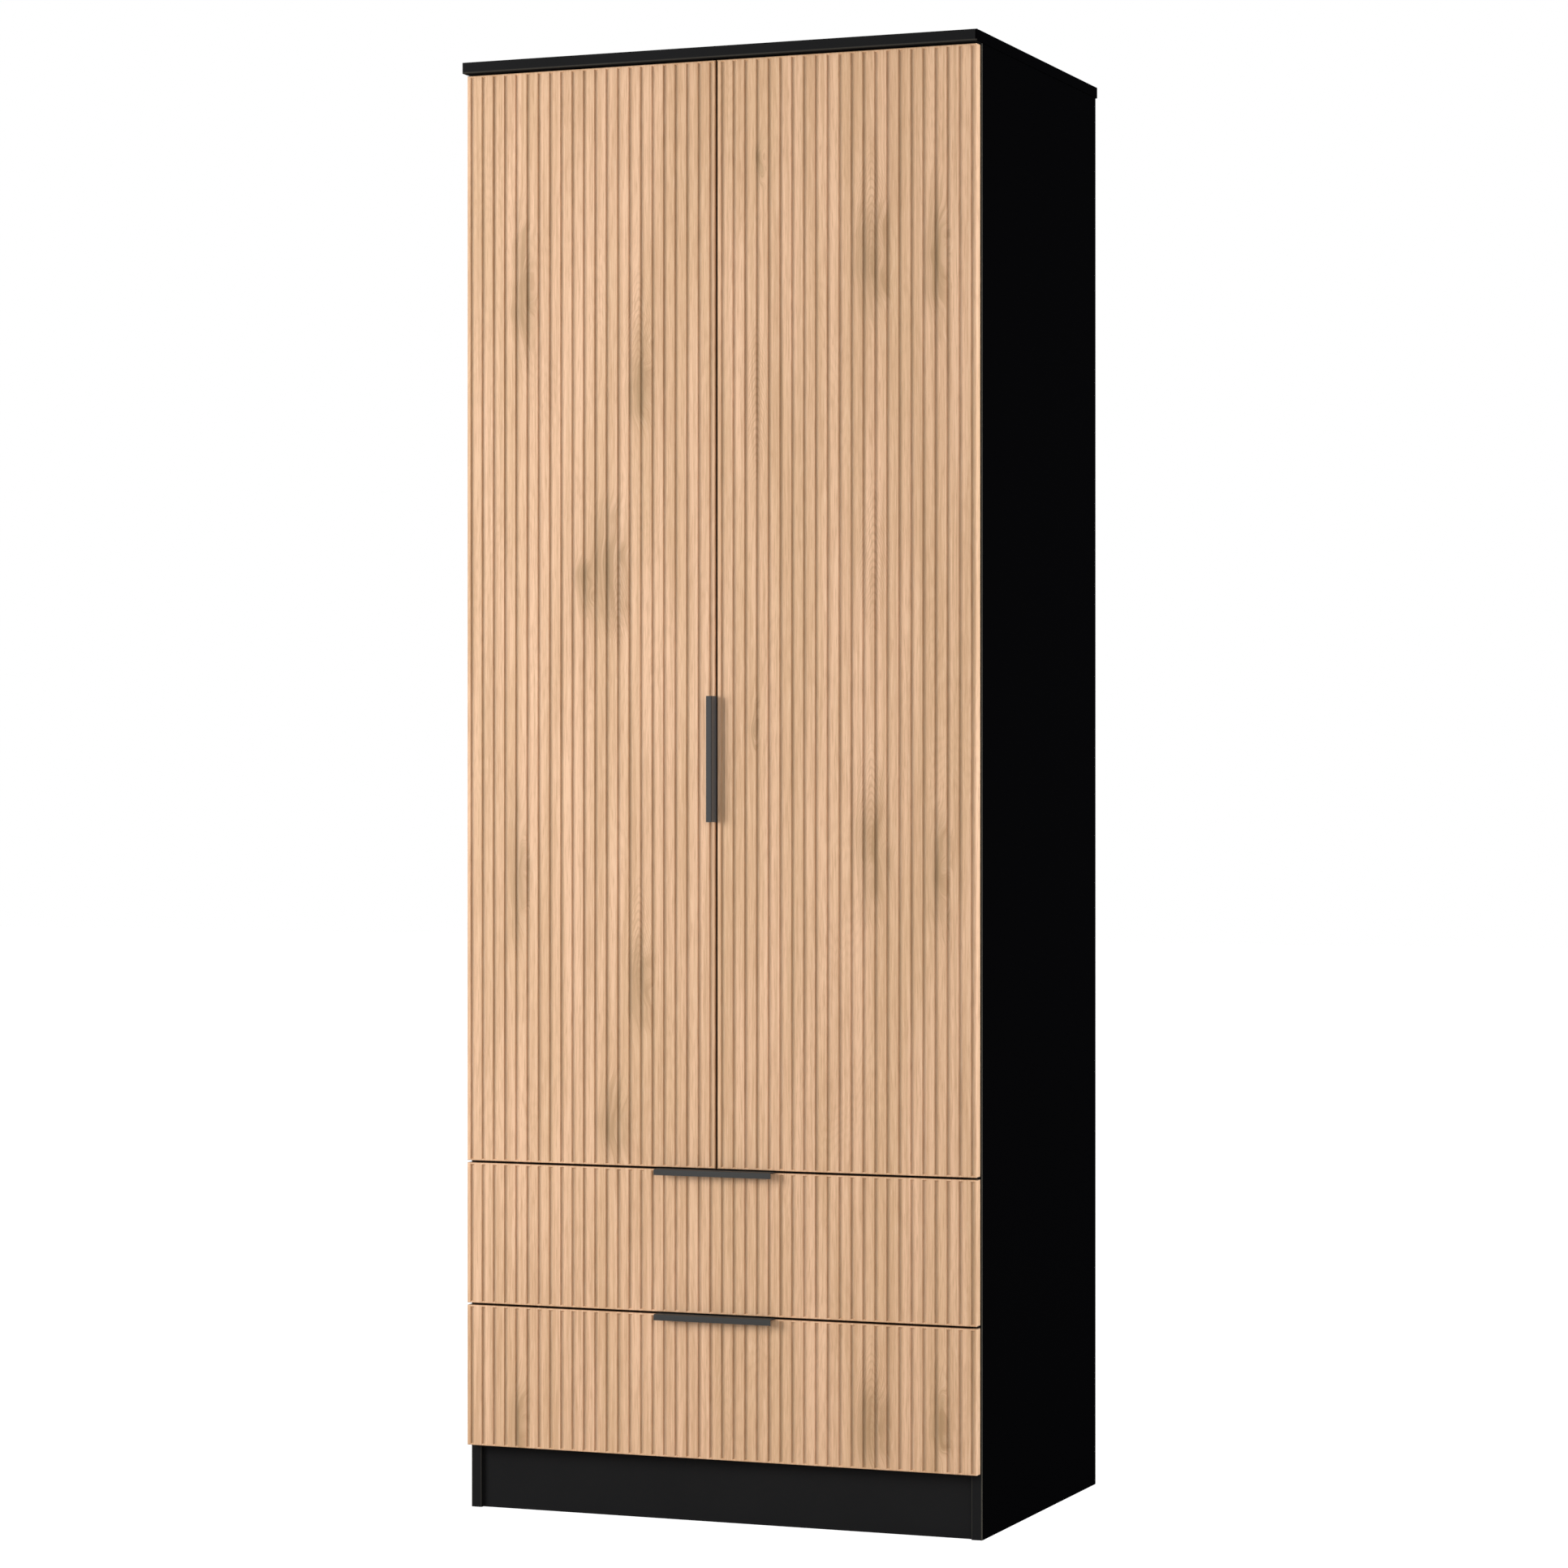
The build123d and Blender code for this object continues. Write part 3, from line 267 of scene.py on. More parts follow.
def cut_bores(piece, bores):
    """Take round bores out of a piece: each has a middle, an axis, a radius and a length."""
    for middle, axis, radius, length in bores:
        turn = Vector(axis).to_track_quat("Z", "Y").to_euler()
        cutter = begin_piece("bore_cutter", bpy.ops.mesh.primitive_cylinder_add, vertices=BORE_SIDES,
                             radius=radius, depth=length, location=middle, rotation=turn)
        modify(piece, "BOOLEAN", object=cutter, operation="DIFFERENCE", solver="EXACT")
        bpy.data.objects.remove(cutter)


def grooved_front(name, node, bores=()):
    """Front board in the place of a CAD node, with each corner's share of the groove depth as an attribute."""
    low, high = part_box(node)
    first = GROOVE_SHIFT - (GROOVE_COUNT - 1) / 2 * GROOVE_PITCH
    skipped = math.floor((low.x - first) / GROOVE_PITCH + 0.5)
    count = math.floor((high.x - first) / GROOVE_PITCH + 0.5) - skipped + 1
    middle = first + skipped * GROOVE_PITCH
    half_mouth, half_pitch = GROOVE_MOUTH / 2, GROOVE_PITCH / 2
    bottom, top = low.z + GROOVE_STOP, high.z - GROOVE_STOP
    board = begin_block(name, (middle - half_pitch, low.y, low.z), (middle + half_pitch, high.y, high.z))
    edit(board)
    pick(board, "faces", lambda at, normal: abs(normal.x) > 0.9)
    bpy.ops.mesh.delete(type="FACE")
    cuts = [((middle - half_mouth, 0, 0), (1, 0, 0)), ((middle + half_mouth, 0, 0), (1, 0, 0))]
    cuts += [((0, 0, bottom), (0, 0, 1)), ((0, 0, top), (0, 0, 1))]
    for point, normal in cuts:
        bpy.ops.mesh.select_all(action="SELECT")
        bpy.ops.mesh.bisect(plane_co=point, plane_no=normal)

    def is_mouth(at, normal):
        return normal.y < -0.9 and abs(at.x - middle) < half_mouth and bottom < at.z < top

    def on_cove(at, along):
        beside = abs(at.x - middle) < half_mouth + TOUCHING and bottom - TOUCHING < at.z < top + TOUCHING
        on_side = abs(abs(at.x - middle) - half_mouth) < TOUCHING
        on_end = min(abs(at.z - bottom), abs(at.z - top)) < TOUCHING
        in_depth = at.y < low.y + GROOVE_DEPTH + TOUCHING and (at.y > low.y + 1e-4 or on_side or on_end)
        return abs(along.y) < 0.1 and beside and in_depth

    def on_rim(at, along):
        beside = min(abs(at.x - low.x), abs(at.x - high.x), abs(at.z - low.z), abs(at.z - high.z)) < 1e-5
        return abs(at.y - low.y) < 1e-5 and beside

    pick(board, "faces", is_mouth)
    bpy.ops.mesh.extrude_region_move(TRANSFORM_OT_translate={"value": (0, GROOVE_DEPTH, 0)})
    shrink = (GROOVE_BED / GROOVE_MOUTH, 1, 1 - 2 * GROOVE_END_RUN / (top - bottom))
    bpy.ops.transform.resize(value=shrink, center_override=(middle, low.y + GROOVE_DEPTH, (bottom + top) / 2))
    pick(board, "edges", on_cove)
    bpy.ops.mesh.bevel(offset=COVE_ROUNDING, segments=3, affect="EDGES")
    done()
    modify(board, "ARRAY", count=count, use_relative_offset=False, use_constant_offset=True,
           constant_offset_displace=(GROOVE_PITCH, 0, 0), use_merge_vertices=True, merge_threshold=1e-5)
    edit(board)
    for edge, cleared in ((low.x, "clear_inner"), (high.x, "clear_outer")):
        bpy.ops.mesh.select_all(action="SELECT")
        bpy.ops.mesh.bisect(plane_co=(edge, 0, 0), plane_no=(1, 0, 0), use_fill=True, **{cleared: True})
    pick(board, "edges", on_rim)
    bpy.ops.mesh.bevel(offset=FRONT_ARRIS, segments=4, affect="EDGES")
    done()
    cut_bores(board, bores)
    depths = board.data.attributes.new("groove_depth", "FLOAT", "POINT")
    for corner, depth in zip(board.data.vertices, depths.data):
        at = corner.co
        from_rim = min(at.x - low.x, high.x - at.x, at.z - low.z, high.z - at.z)
        counts = from_rim > FRONT_ARRIS + 0.0001 and at.y < low.y + 1.01 * GROOVE_DEPTH
        depth.value = min((at.y - low.y) / GROOVE_DEPTH, 1.0) if counts else 0.0
    return board


def mixed(tree, amount, first, second, blend="MIX"):
    """Two colours mixed by an amount."""
    mix = add_node(tree, "ShaderNodeMix", data_type="RGBA", blend_type=blend)
    for index, value in ((0, amount), (6, first), (7, second)):
        if isinstance(value, bpy.types.NodeSocket):
            tree.links.new(value, mix.inputs[index])
        else:
            mix.inputs[index].default_value = value
    return mix.outputs[2]


def ranged(tree, value, low, high, to_low=0.0, to_high=1.0):
    """Value between two limits, mapped softly to two others."""
    feeds = enumerate((value, low, high, to_low, to_high))
    return add_node(tree, "ShaderNodeMapRange", feeds, interpolation_type="SMOOTHSTEP").outputs[0]


def vector_maths(tree, operation, *values, output=0):
    """Output of a vector maths node fed with the given values."""
    return add_node(tree, "ShaderNodeVectorMath", enumerate(values), operation=operation).outputs[output]


def noise(tree, vector, scale, detail, *more, output="Fac"):
    """Output of a noise texture; more holds pairs of a socket and its value."""
    feeds = (("Vector", vector), ("Scale", scale), ("Detail", detail), *more)
    return add_node(tree, "ShaderNodeTexNoise", feeds).outputs[output]


def object_place(tree):
    """Place of each point in the object's own metres."""
    return add_node(tree, "ShaderNodeTexCoord").outputs["Object"]


# Grain, streaks and growth rings of wood, shared by the oak foil and the beech dowels.
grain_group = bpy.data.node_groups.new("wood_grain", "ShaderNodeTree")
for socket, kind in (("Place", "NodeSocketVector"), ("Across", "NodeSocketFloat"), ("Along", "NodeSocketFloat")):
    grain_group.interface.new_socket(socket, in_out="INPUT", socket_type=kind)
for socket in ("Fibre", "Streak", "Figure", "Tone"):
    grain_group.interface.new_socket(socket, in_out="OUTPUT", socket_type="NodeSocketFloat")
given = add_node(grain_group, "NodeGroupInput")
split = add_node(grain_group, "ShaderNodeSeparateXYZ", ((0, given.outputs["Place"]),))
across = maths(grain_group, "MULTIPLY", split.outputs[0], given.outputs["Across"])
depth = maths(grain_group, "MULTIPLY", split.outputs[1], given.outputs["Across"])
along = maths(grain_group, "MULTIPLY", split.outputs[2], given.outputs["Along"])
fitted = add_node(grain_group, "ShaderNodeCombineXYZ", ((0, across), (1, depth), (2, along))).outputs[0]


def stretched_noise(tree, vector, scale, stretch, detail, roughness, distortion=0.0):
    """Noise whose blotches are drawn out along the grain."""
    drawn_out = (scale, scale * 0.35, scale / stretch)
    mapping = add_node(tree, "ShaderNodeMapping", (("Vector", vector), ("Scale", drawn_out)))
    return noise(tree, mapping.outputs[0], 1.0, detail, ("Roughness", roughness), ("Distortion", distortion))


fibre = stretched_noise(grain_group, fitted, scale=760.0, stretch=24.0, detail=3.0, roughness=0.6)
streak = stretched_noise(grain_group, fitted, scale=170.0, stretch=60.0, detail=3.0, roughness=0.6)
tone = stretched_noise(grain_group, fitted, scale=26.0, stretch=12.0, detail=2.0, roughness=0.5)
field = stretched_noise(grain_group, fitted, scale=7.0, stretch=5.5, detail=2.0, roughness=0.5, distortion=0.6)
rings = maths(grain_group, "MULTIPLY", field, RINGS_IN_FIELD)
wobble = maths(grain_group, "MULTIPLY", streak, RING_WOBBLE)
rings = maths(grain_group, "ADD", rings, wobble)
rings = maths(grain_group, "MULTIPLY", rings, FULL_TURN)
wave = maths(grain_group, "SINE", rings)
figure = ranged(grain_group, wave, -0.2, 1.0)
add_node(grain_group, "NodeGroupOutput", (("Fibre", fibre), ("Streak", streak), ("Figure", figure), ("Tone", tone)))

# Uneven gloss and a fine surface texture, shared by boards, paint, plastic and metal.
surface_group = bpy.data.node_groups.new("surface_texture", "ShaderNodeTree")
for socket in ("Size", "Roughness", "Unevenness"):
    surface_group.interface.new_socket(socket, in_out="INPUT", socket_type="NodeSocketFloat")
for socket in ("Roughness", "Relief", "Shade"):
    surface_group.interface.new_socket(socket, in_out="OUTPUT", socket_type="NodeSocketFloat")
given = add_node(surface_group, "NodeGroupInput")
place = object_place(surface_group)
fine = noise(surface_group, place, given.outputs["Size"], 2.0)
broad = noise(surface_group, place, 9.0, 4.0)
centred = maths(surface_group, "ADD", broad, -0.5)
spread = maths(surface_group, "MULTIPLY", centred, given.outputs["Unevenness"])
rough = maths(surface_group, "ADD", spread, given.outputs["Roughness"], use_clamp=True)
add_node(surface_group, "NodeGroupOutput", (("Roughness", rough), ("Relief", fine), ("Shade", broad)))


def new_finish(name, roughness, unevenness, texture_size, relief, relief_depth, **constants):
    """Principled material whose gloss and fine relief come from the shared surface texture."""
    material = bpy.data.materials.new(name)
    material.use_nodes = True
    tree = material.node_tree
    shader = tree.nodes["Principled BSDF"]
    feeds = (("Size", texture_size), ("Roughness", roughness), ("Unevenness", unevenness))
    surface = add_node(tree, "ShaderNodeGroup", feeds, node_tree=surface_group)
    tree.links.new(surface.outputs["Roughness"], shader.inputs["Roughness"])
    feeds = (("Strength", relief), ("Distance", relief_depth), ("Height", surface.outputs["Relief"]))
    bump = add_node(tree, "ShaderNodeBump", feeds)
    tree.links.new(bump.outputs[0], shader.inputs["Normal"])
    for socket, value in constants.items():
        shader.inputs[socket.replace("_", " ")].default_value = value
    return material, tree, shader, surface.outputs["Shade"]


def two_tone_finish(name, first, second, **settings):
    """Finish whose colour wavers between two tones."""
    material, tree, shader, shade = new_finish(name, **settings)
    tree.links.new(mixed(tree, shade, first, second), shader.inputs["Base Color"])
    return material


def strongest(tree, group, place, marks):
    """Largest value of a group's marks, each with its middle and half size in X and Z."""
    largest = None
    for x, z, half_width, half_height in marks:
        feeds = (("Place", place), ("Middle", (x, FRONT_FACE, z)), ("Half Size", (half_width, 1.0, half_height)))
        mark = add_node(tree, "ShaderNodeGroup", feeds, node_tree=group).outputs[0]
        largest = mark if largest is None else maths(tree, "MAXIMUM", largest, mark)
    return largest


# One knot of the foil's print: a soft upright spot with a given middle and half size.
knot_group = bpy.data.node_groups.new("wood_knot", "ShaderNodeTree")
for socket in ("Place", "Middle", "Half Size"):
    knot_group.interface.new_socket(socket, in_out="INPUT", socket_type="NodeSocketVector")
knot_group.interface.new_socket("Spot", in_out="OUTPUT", socket_type="NodeSocketFloat")
given = add_node(knot_group, "NodeGroupInput")
away = vector_maths(knot_group, "SUBTRACT", given.outputs["Place"], given.outputs["Middle"])
away = vector_maths(knot_group, "DIVIDE", away, given.outputs["Half Size"])
away = vector_maths(knot_group, "LENGTH", away, output="Value")
add_node(knot_group, "NodeGroupOutput", (("Spot", ranged(knot_group, away, 1.0, 0.0)),))

# One arched stretch of growth rings: nested upturned V lines with a given middle and half size.
arch_group = bpy.data.node_groups.new("wood_arches", "ShaderNodeTree")
for socket in ("Place", "Middle", "Half Size"):
    arch_group.interface.new_socket(socket, in_out="INPUT", socket_type="NodeSocketVector")
arch_group.interface.new_socket("Lines", in_out="OUTPUT", socket_type="NodeSocketFloat")
given = add_node(arch_group, "NodeGroupInput")
offset = vector_maths(arch_group, "SUBTRACT", given.outputs["Place"], given.outputs["Middle"])
split = add_node(arch_group, "ShaderNodeSeparateXYZ", ((0, offset),))
sideways = maths(arch_group, "MULTIPLY", split.outputs[0], split.outputs[0])
sideways = maths(arch_group, "ADD", sideways, 0.00002)
sideways = maths(arch_group, "SQRT", sideways)
rise = maths(arch_group, "MULTIPLY_ADD", sideways, ARCH_STEEPNESS, split.outputs[2])
lines = maths(arch_group, "MULTIPLY", rise, ARCH_LINES)
lines = ranged(arch_group, maths(arch_group, "SINE", lines), -0.3, 1.0)
away = vector_maths(arch_group, "DIVIDE", offset, given.outputs["Half Size"])
away = vector_maths(arch_group, "LENGTH", away, output="Value")
lines = maths(arch_group, "MULTIPLY", lines, ranged(arch_group, away, 1.0, 0.2))
add_node(arch_group, "NodeGroupOutput", (("Lines", lines),))

oak_foil, tree, shader, _ = new_finish("grooved_oak", roughness=0.5, unevenness=0.1, texture_size=2600.0,
                                       relief=0.04, relief_depth=0.0001, Specular_IOR_Level=0.35)
place = object_place(tree)
wander = noise(tree, place, 20.0, 1.0, output="Color")
wander = vector_maths(tree, "ADD", wander, (-0.5, -0.5, -0.5))
wander = vector_maths(tree, "MULTIPLY", wander, (0.022, 0.0, 0.08))
strayed = vector_maths(tree, "ADD", place, wander)
knots = [(x, z, width * KNOT_WIDENED, height * KNOT_RAISED) for x, z, width, height in KNOTS]
spots = strongest(tree, knot_group, strayed, knots)
sideways = maths(tree, "MULTIPLY", spots, KNOT_BENDS_GRAIN_BY)
pulled = add_node(tree, "ShaderNodeCombineXYZ", ((0, sideways),)).outputs[0]
pulled = vector_maths(tree, "ADD", place, pulled)
grain = add_node(tree, "ShaderNodeGroup", (("Place", pulled), ("Across", 1.0), ("Along", 1.0)), node_tree=grain_group)
oak = mixed(tree, ranged(tree, grain.outputs["Tone"], 0.35, 0.65), colour(244, 200, 162), colour(229, 187, 146))
oak = mixed(tree, ranged(tree, grain.outputs["Streak"], 0.40, 0.66, 0.0, 0.62), oak, colour(210, 166, 126))
oak = mixed(tree, ranged(tree, grain.outputs["Fibre"], 0.50, 0.68, 0.0, 0.5), oak, colour(197, 151, 112))
oak = mixed(tree, ranged(tree, grain.outputs["Fibre"], 0.44, 0.32, 0.0, 0.36), oak, colour(249, 213, 177))
figure_strength = maths(tree, "MULTIPLY", grain.outputs["Figure"], 0.13)
oak = mixed(tree, figure_strength, oak, colour(190, 146, 106))
mottle = ranged(tree, grain.outputs["Streak"], 0.25, 0.7, 0.38, 0.80)
smudge = maths(tree, "MULTIPLY", spots, mottle)
oak = mixed(tree, smudge, oak, colour(168, 133, 92))
wavering = noise(tree, place, 90.0, 2.0, output="Color")
wavering = vector_maths(tree, "MULTIPLY", wavering, (0.004, 0.0, 0.010))
wavering = vector_maths(tree, "ADD", place, wavering)
arches = strongest(tree, arch_group, wavering, ARCHES)
arches = maths(tree, "MULTIPLY", arches, ARCH_STRENGTH)
oak = mixed(tree, arches, oak, colour(184, 140, 102))
# The groove beds are darkened by their depth: painted shade. A dark tint inside the gaps between the fronts is
# painted shade too.
attribute = add_node(tree, "ShaderNodeAttribute", attribute_type="GEOMETRY", attribute_name="groove_depth")
in_groove = attribute.outputs["Fac"]
oak = mixed(tree, ranged(tree, in_groove, 0.02, 0.95), oak, (0.84, 0.91, 0.955, 1), "MULTIPLY")
split = add_node(tree, "ShaderNodeSeparateXYZ", ((0, place),))
behind_face = ranged(tree, split.outputs[1], -0.2480, -0.2455)
beside_gap = ranged(tree, maths(tree, "ABSOLUTE", split.outputs[0]), 0.0022, 0.0016)
for gap in GAPS_UNDER_FRONTS:
    from_gap = maths(tree, "ABSOLUTE", maths(tree, "ADD", split.outputs[2], -gap))
    beside_gap = maths(tree, "MAXIMUM", beside_gap, ranged(tree, from_gap, 0.0026, 0.0019))
in_gap = maths(tree, "MULTIPLY", behind_face, beside_gap)
oak = mixed(tree, in_gap, oak, (0.22, 0.20, 0.18, 1), "MULTIPLY")
tree.links.new(oak, shader.inputs["Base Color"])

for side, sign in (("left", -1), ("right", 1)):
    node = f"{side}_door_panel"
    low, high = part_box(node)
    middles = [(sign * CUP_BORE_FROM_MIDDLE, high.y - CUP_BORE_BEFORE_BACK, level) for level in HINGE_LEVELS]
    cup_bores = [(middle, (0, 1, 0), CUP_BORE_RADIUS, CUP_BORE_LENGTH) for middle in middles]
    door = grooved_front(f"{side}_door_front", node, cup_bores)
    smooth(door)
    dress(door, oak_foil, f"{side}_door", node)
for name in ("lower", "upper"):
    front = grooved_front(f"{name}_drawer_grooved_front", f"{name}_drawer_front")
    smooth(front)
    dress(front, oak_foil, f"{name}_drawer", f"{name}_drawer_front")


# ---------------------------------------------------------------- lip handles
# A strip of 1.2 mm steel sheet folded twice and powder-coated: a leg screwed behind the front, a web
# over its edge and a short lip before its face. One is folded and copied twice. All three share one paint; the
# upright one's copy has a painted sheen that lightens its web and a darker colour to offset it on its lip.
HANDLE_SHEET = 0.0012
HANDLE_LIP = 0.008
HANDLE_FOLD = 0.0009
HANDLE_ARRIS = 0.00022

# The upright handle's copy of the one paint, darker and with sheen: a painted sheen on its web.
door_coat = two_tone_finish("door_handle_paint", colour(50, 50, 50), colour(58, 58, 58), roughness=0.5,
                            unevenness=0.12, texture_size=2400.0, relief=0.16, relief_depth=0.00015,
                            Specular_IOR_Level=0.22, Sheen_Weight=0.5)
drawer_coat = two_tone_finish("drawer_handle_paint", colour(56, 56, 55), colour(64, 64, 63), roughness=0.5,
                              unevenness=0.12, texture_size=2400.0, relief=0.16, relief_depth=0.00015,
                              Specular_IOR_Level=0.16)

low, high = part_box("left_door_handle")
half_sheet = HANDLE_SHEET / 2
web_x = high.x - half_sheet
leg_y, lip_y = high.y - half_sheet, low.y + half_sheet
lip_end = high.x - HANDLE_LIP
door_handle = begin_piece("left_door_lip_handle", bpy.ops.mesh.primitive_plane_add, size=1,
                          rotation=(math.radians(90), 0, 0), scale=(web_x - low.x, high.z - low.z, 1),
                          location=((low.x + web_x) / 2, leg_y, (low.z + high.z) / 2))
edit(door_handle)
pick(door_handle, "edges", lambda at, along: at.x > web_x - 1e-5)
bpy.ops.mesh.extrude_edges_move(TRANSFORM_OT_translate={"value": (0, lip_y - leg_y, 0)})
pick(door_handle, "edges", lambda at, along: at.y < lip_y + 1e-5)
bpy.ops.mesh.extrude_edges_move(TRANSFORM_OT_translate={"value": (lip_end - web_x, 0, 0)})
pick(door_handle, "edges", lambda at, along: abs(along.z) > 0.9 and at.x > web_x - 1e-5)
bpy.ops.mesh.bevel(offset=HANDLE_FOLD, segments=5, affect="EDGES")
done()
modify(door_handle, "SOLIDIFY", thickness=HANDLE_SHEET, offset=0.0, use_even_offset=True)
modify(door_handle, "BEVEL", width=HANDLE_ARRIS, segments=2, limit_method="ANGLE", angle_limit=math.radians(60))
smooth(door_handle, 40)
dress(door_handle, door_coat, "left_door", "left_door_handle")

for name in ("lower", "upper"):
    _, node_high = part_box(f"{name}_drawer_handle")
    drawer_handle = door_handle.copy()
    drawer_handle.data = door_handle.data.copy()
    drawer_handle.name = drawer_handle.data.name = f"{name}_drawer_lip_handle"
    bpy.context.scene.collection.objects.link(drawer_handle)
    to_middle = Matrix.Translation((-high.x, 0, -(low.z + high.z) / 2))
    lying = Matrix.Rotation(math.radians(-90), 4, "Y")
    drawer_handle.data.transform(Matrix.Translation((0, 0, node_high.z)) @ lying @ to_middle)
    del drawer_handle["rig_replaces"]
    dress(drawer_handle, drawer_coat, f"{name}_drawer", f"{name}_drawer_handle")


# ---------------------------------------------------------------- screws
# Zinc-plated pan-head screws with a cross recess hold the handles, hinges, runners and rail brackets.
# One is shaped, and a copy of it goes to every screw of the CAD model.
SCREW_RADIUS = 0.0016
SCREW_HEAD = 0.0030
SCREW_HEAD_HEIGHT = 0.0012
SCREW_HEAD_SIDES = 20
SCREW_HEAD_ROUNDING = 0.0007
SCREW_LENGTH = 0.0100
RECESS_WIDTH = 0.0008
RECESS_LENGTH = 0.0032
RECESS_DEPTH = 0.0006

zinc = two_tone_finish("zinc_screw", colour(178, 178, 174), colour(206, 205, 199), roughness=0.34, unevenness=0.25,
                       texture_size=700.0, relief=0.08, relief_depth=0.0001, Metallic=1.0)

pan_screw = begin_piece("pan_screw", bpy.ops.mesh.primitive_cylinder_add, vertices=SCREW_HEAD_SIDES,
                        radius=SCREW_HEAD, depth=SCREW_HEAD_HEIGHT, location=(0, 0, -SCREW_HEAD_HEIGHT / 2))
edit(pan_screw)
pick(pan_screw, "faces", lambda at, normal: normal.z < -0.9)
bpy.ops.mesh.inset(thickness=SCREW_HEAD - SCREW_RADIUS)
bpy.ops.mesh.extrude_region_move(TRANSFORM_OT_translate={"value": (0, 0, -SCREW_LENGTH)})
pick(pan_screw, "edges", lambda at, along: at.z > -TOUCHING)
bpy.ops.mesh.bevel(offset=SCREW_HEAD_ROUNDING, segments=3, affect="EDGES")
for normal in ((1, 0, 0), (0, 1, 0)):
    for half in (RECESS_WIDTH / 2, RECESS_LENGTH / 2):
        for side in (-1, 1):
            bpy.ops.mesh.select_all(action="SELECT")
            bpy.ops.mesh.bisect(plane_co=Vector(normal) * half * side, plane_no=normal)


def in_recess(at, normal):
    """Whether a face of the head's top lies inside the cross."""
    narrow, wide = sorted((abs(at.x), abs(at.y)))
    return normal.z > 0.9 and at.z > -TOUCHING and narrow < RECESS_WIDTH / 2 and wide < RECESS_LENGTH / 2


pick(pan_screw, "faces", in_recess)
bpy.ops.mesh.extrude_region_move(TRANSFORM_OT_translate={"value": (0, 0, -RECESS_DEPTH)})
done()
smooth(pan_screw, 40)


def loose_parts(node):
    """Corners of each separate solid of a CAD node."""
    shape = bmesh.new()
    shape.from_mesh(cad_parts[node].data)
    bmesh.ops.remove_doubles(shape, verts=shape.verts, dist=TOUCHING)
    parts, seen = [], set()
    for first in shape.verts:
        if first in seen:
            continue
        waiting, part = [first], []
        seen.add(first)
        while waiting:
            corner = waiting.pop()
            part.append(corner.co.copy())
            for edge in corner.link_edges:
                other = edge.other_vert(corner)
                if other not in seen:
                    seen.add(other)
                    waiting.append(other)
        parts.append(part)
    shape.free()
    return parts


def place_screws(node, body, outward=None):
    """Copies of the screw in the places of a CAD node's screws, their heads outward or towards the middle."""
    bpy.ops.object.select_all(action="DESELECT")
    for part in loose_parts(node):
        away = Vector(outward) if outward else Vector((-1 if part[0].x > 0 else 1, 0, 0))
        top = max(corner.dot(away) for corner in part)
        rim = [corner for corner in part if corner.dot(away) > top - 1e-5]
        head = sum(rim, Vector()) / len(rim)
        radius = max((corner - head).length for corner in rim)
        reach = top - min(corner.dot(away) for corner in part)
        copy = pan_screw.copy()
        copy.data = pan_screw.data.copy()
        bpy.context.scene.collection.objects.link(copy)
        for corner in copy.data.vertices:
            if corner.co.z < -SCREW_HEAD_HEIGHT - TOUCHING:
                corner.co.z = -reach
        share = min(radius / SCREW_HEAD, 1)
        narrowed = Matrix.Diagonal((share, share, 1, 1))
        copy.data.transform(Matrix.Translation(head) @ away.to_track_quat("Z", "Y").to_matrix().to_4x4() @ narrowed)
        copy.select_set(True)
        bpy.context.view_layer.objects.active = copy
    bpy.ops.object.join()
    group = bpy.context.object
    group.name = group.data.name = node.replace("screws", "cross_screws")
    dress(group, zinc, body, node)


place_screws("left_door_handle_screws", "left_door", (0, 1, 0))
for name in ("lower", "upper"):
    place_screws(f"{name}_drawer_handle_screws", f"{name}_drawer", (0, 1, 0))
    place_screws(f"{name}_drawer_runner_screws", f"{name}_drawer", (0, 0, -1))
for side in ("left", "right"):
    place_screws(f"{side}_hinge_cup_screws", f"{side}_door", (0, 1, 0))
for name in ("hinge_plate_screws", "hinge_arm_screws", "cabinet_runner_screws", "rail_bracket_screws"):
    place_screws(name, "carcass")
bpy.data.objects.remove(pan_screw)


# ---------------------------------------------------------------- carcass boards and hat shelf
# Particle board 15 mm thick, faced with black melamine and edged with thin black tape. The lines of light on the
# front edges are a painted highlight and the dark outer faces are painted shade. The hat shelf lies loose on four
# pins.
def paint_nodes(material, *names):
    """Give CAD nodes a material."""
    for name in names:
        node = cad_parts[name]
        node.data.materials.clear()
        node.data.materials.append(material)


black_board, tree, shader, shade = new_finish("black_board", roughness=0.62, unevenness=0.12, texture_size=900.0,
                                              relief=0.12, relief_depth=0.0002, Specular_IOR_Level=0.0)
split = add_node(tree, "ShaderNodeSeparateXYZ", ((0, object_place(tree)),))
board = mixed(tree, shade, (0.0150, 0.0150, 0.0155, 1), (0.0190, 0.0190, 0.0195, 1))
from_middle = maths(tree, "ABSOLUTE", split.outputs[0])
# The outer faces of the sides are darker than the rest of the board: painted shade.
outer_face_painted_shade = ranged(tree, from_middle, 0.3680, 0.3684)
board = mixed(tree, outer_face_painted_shade, board, (0.0018, 0.0018, 0.0021, 1))
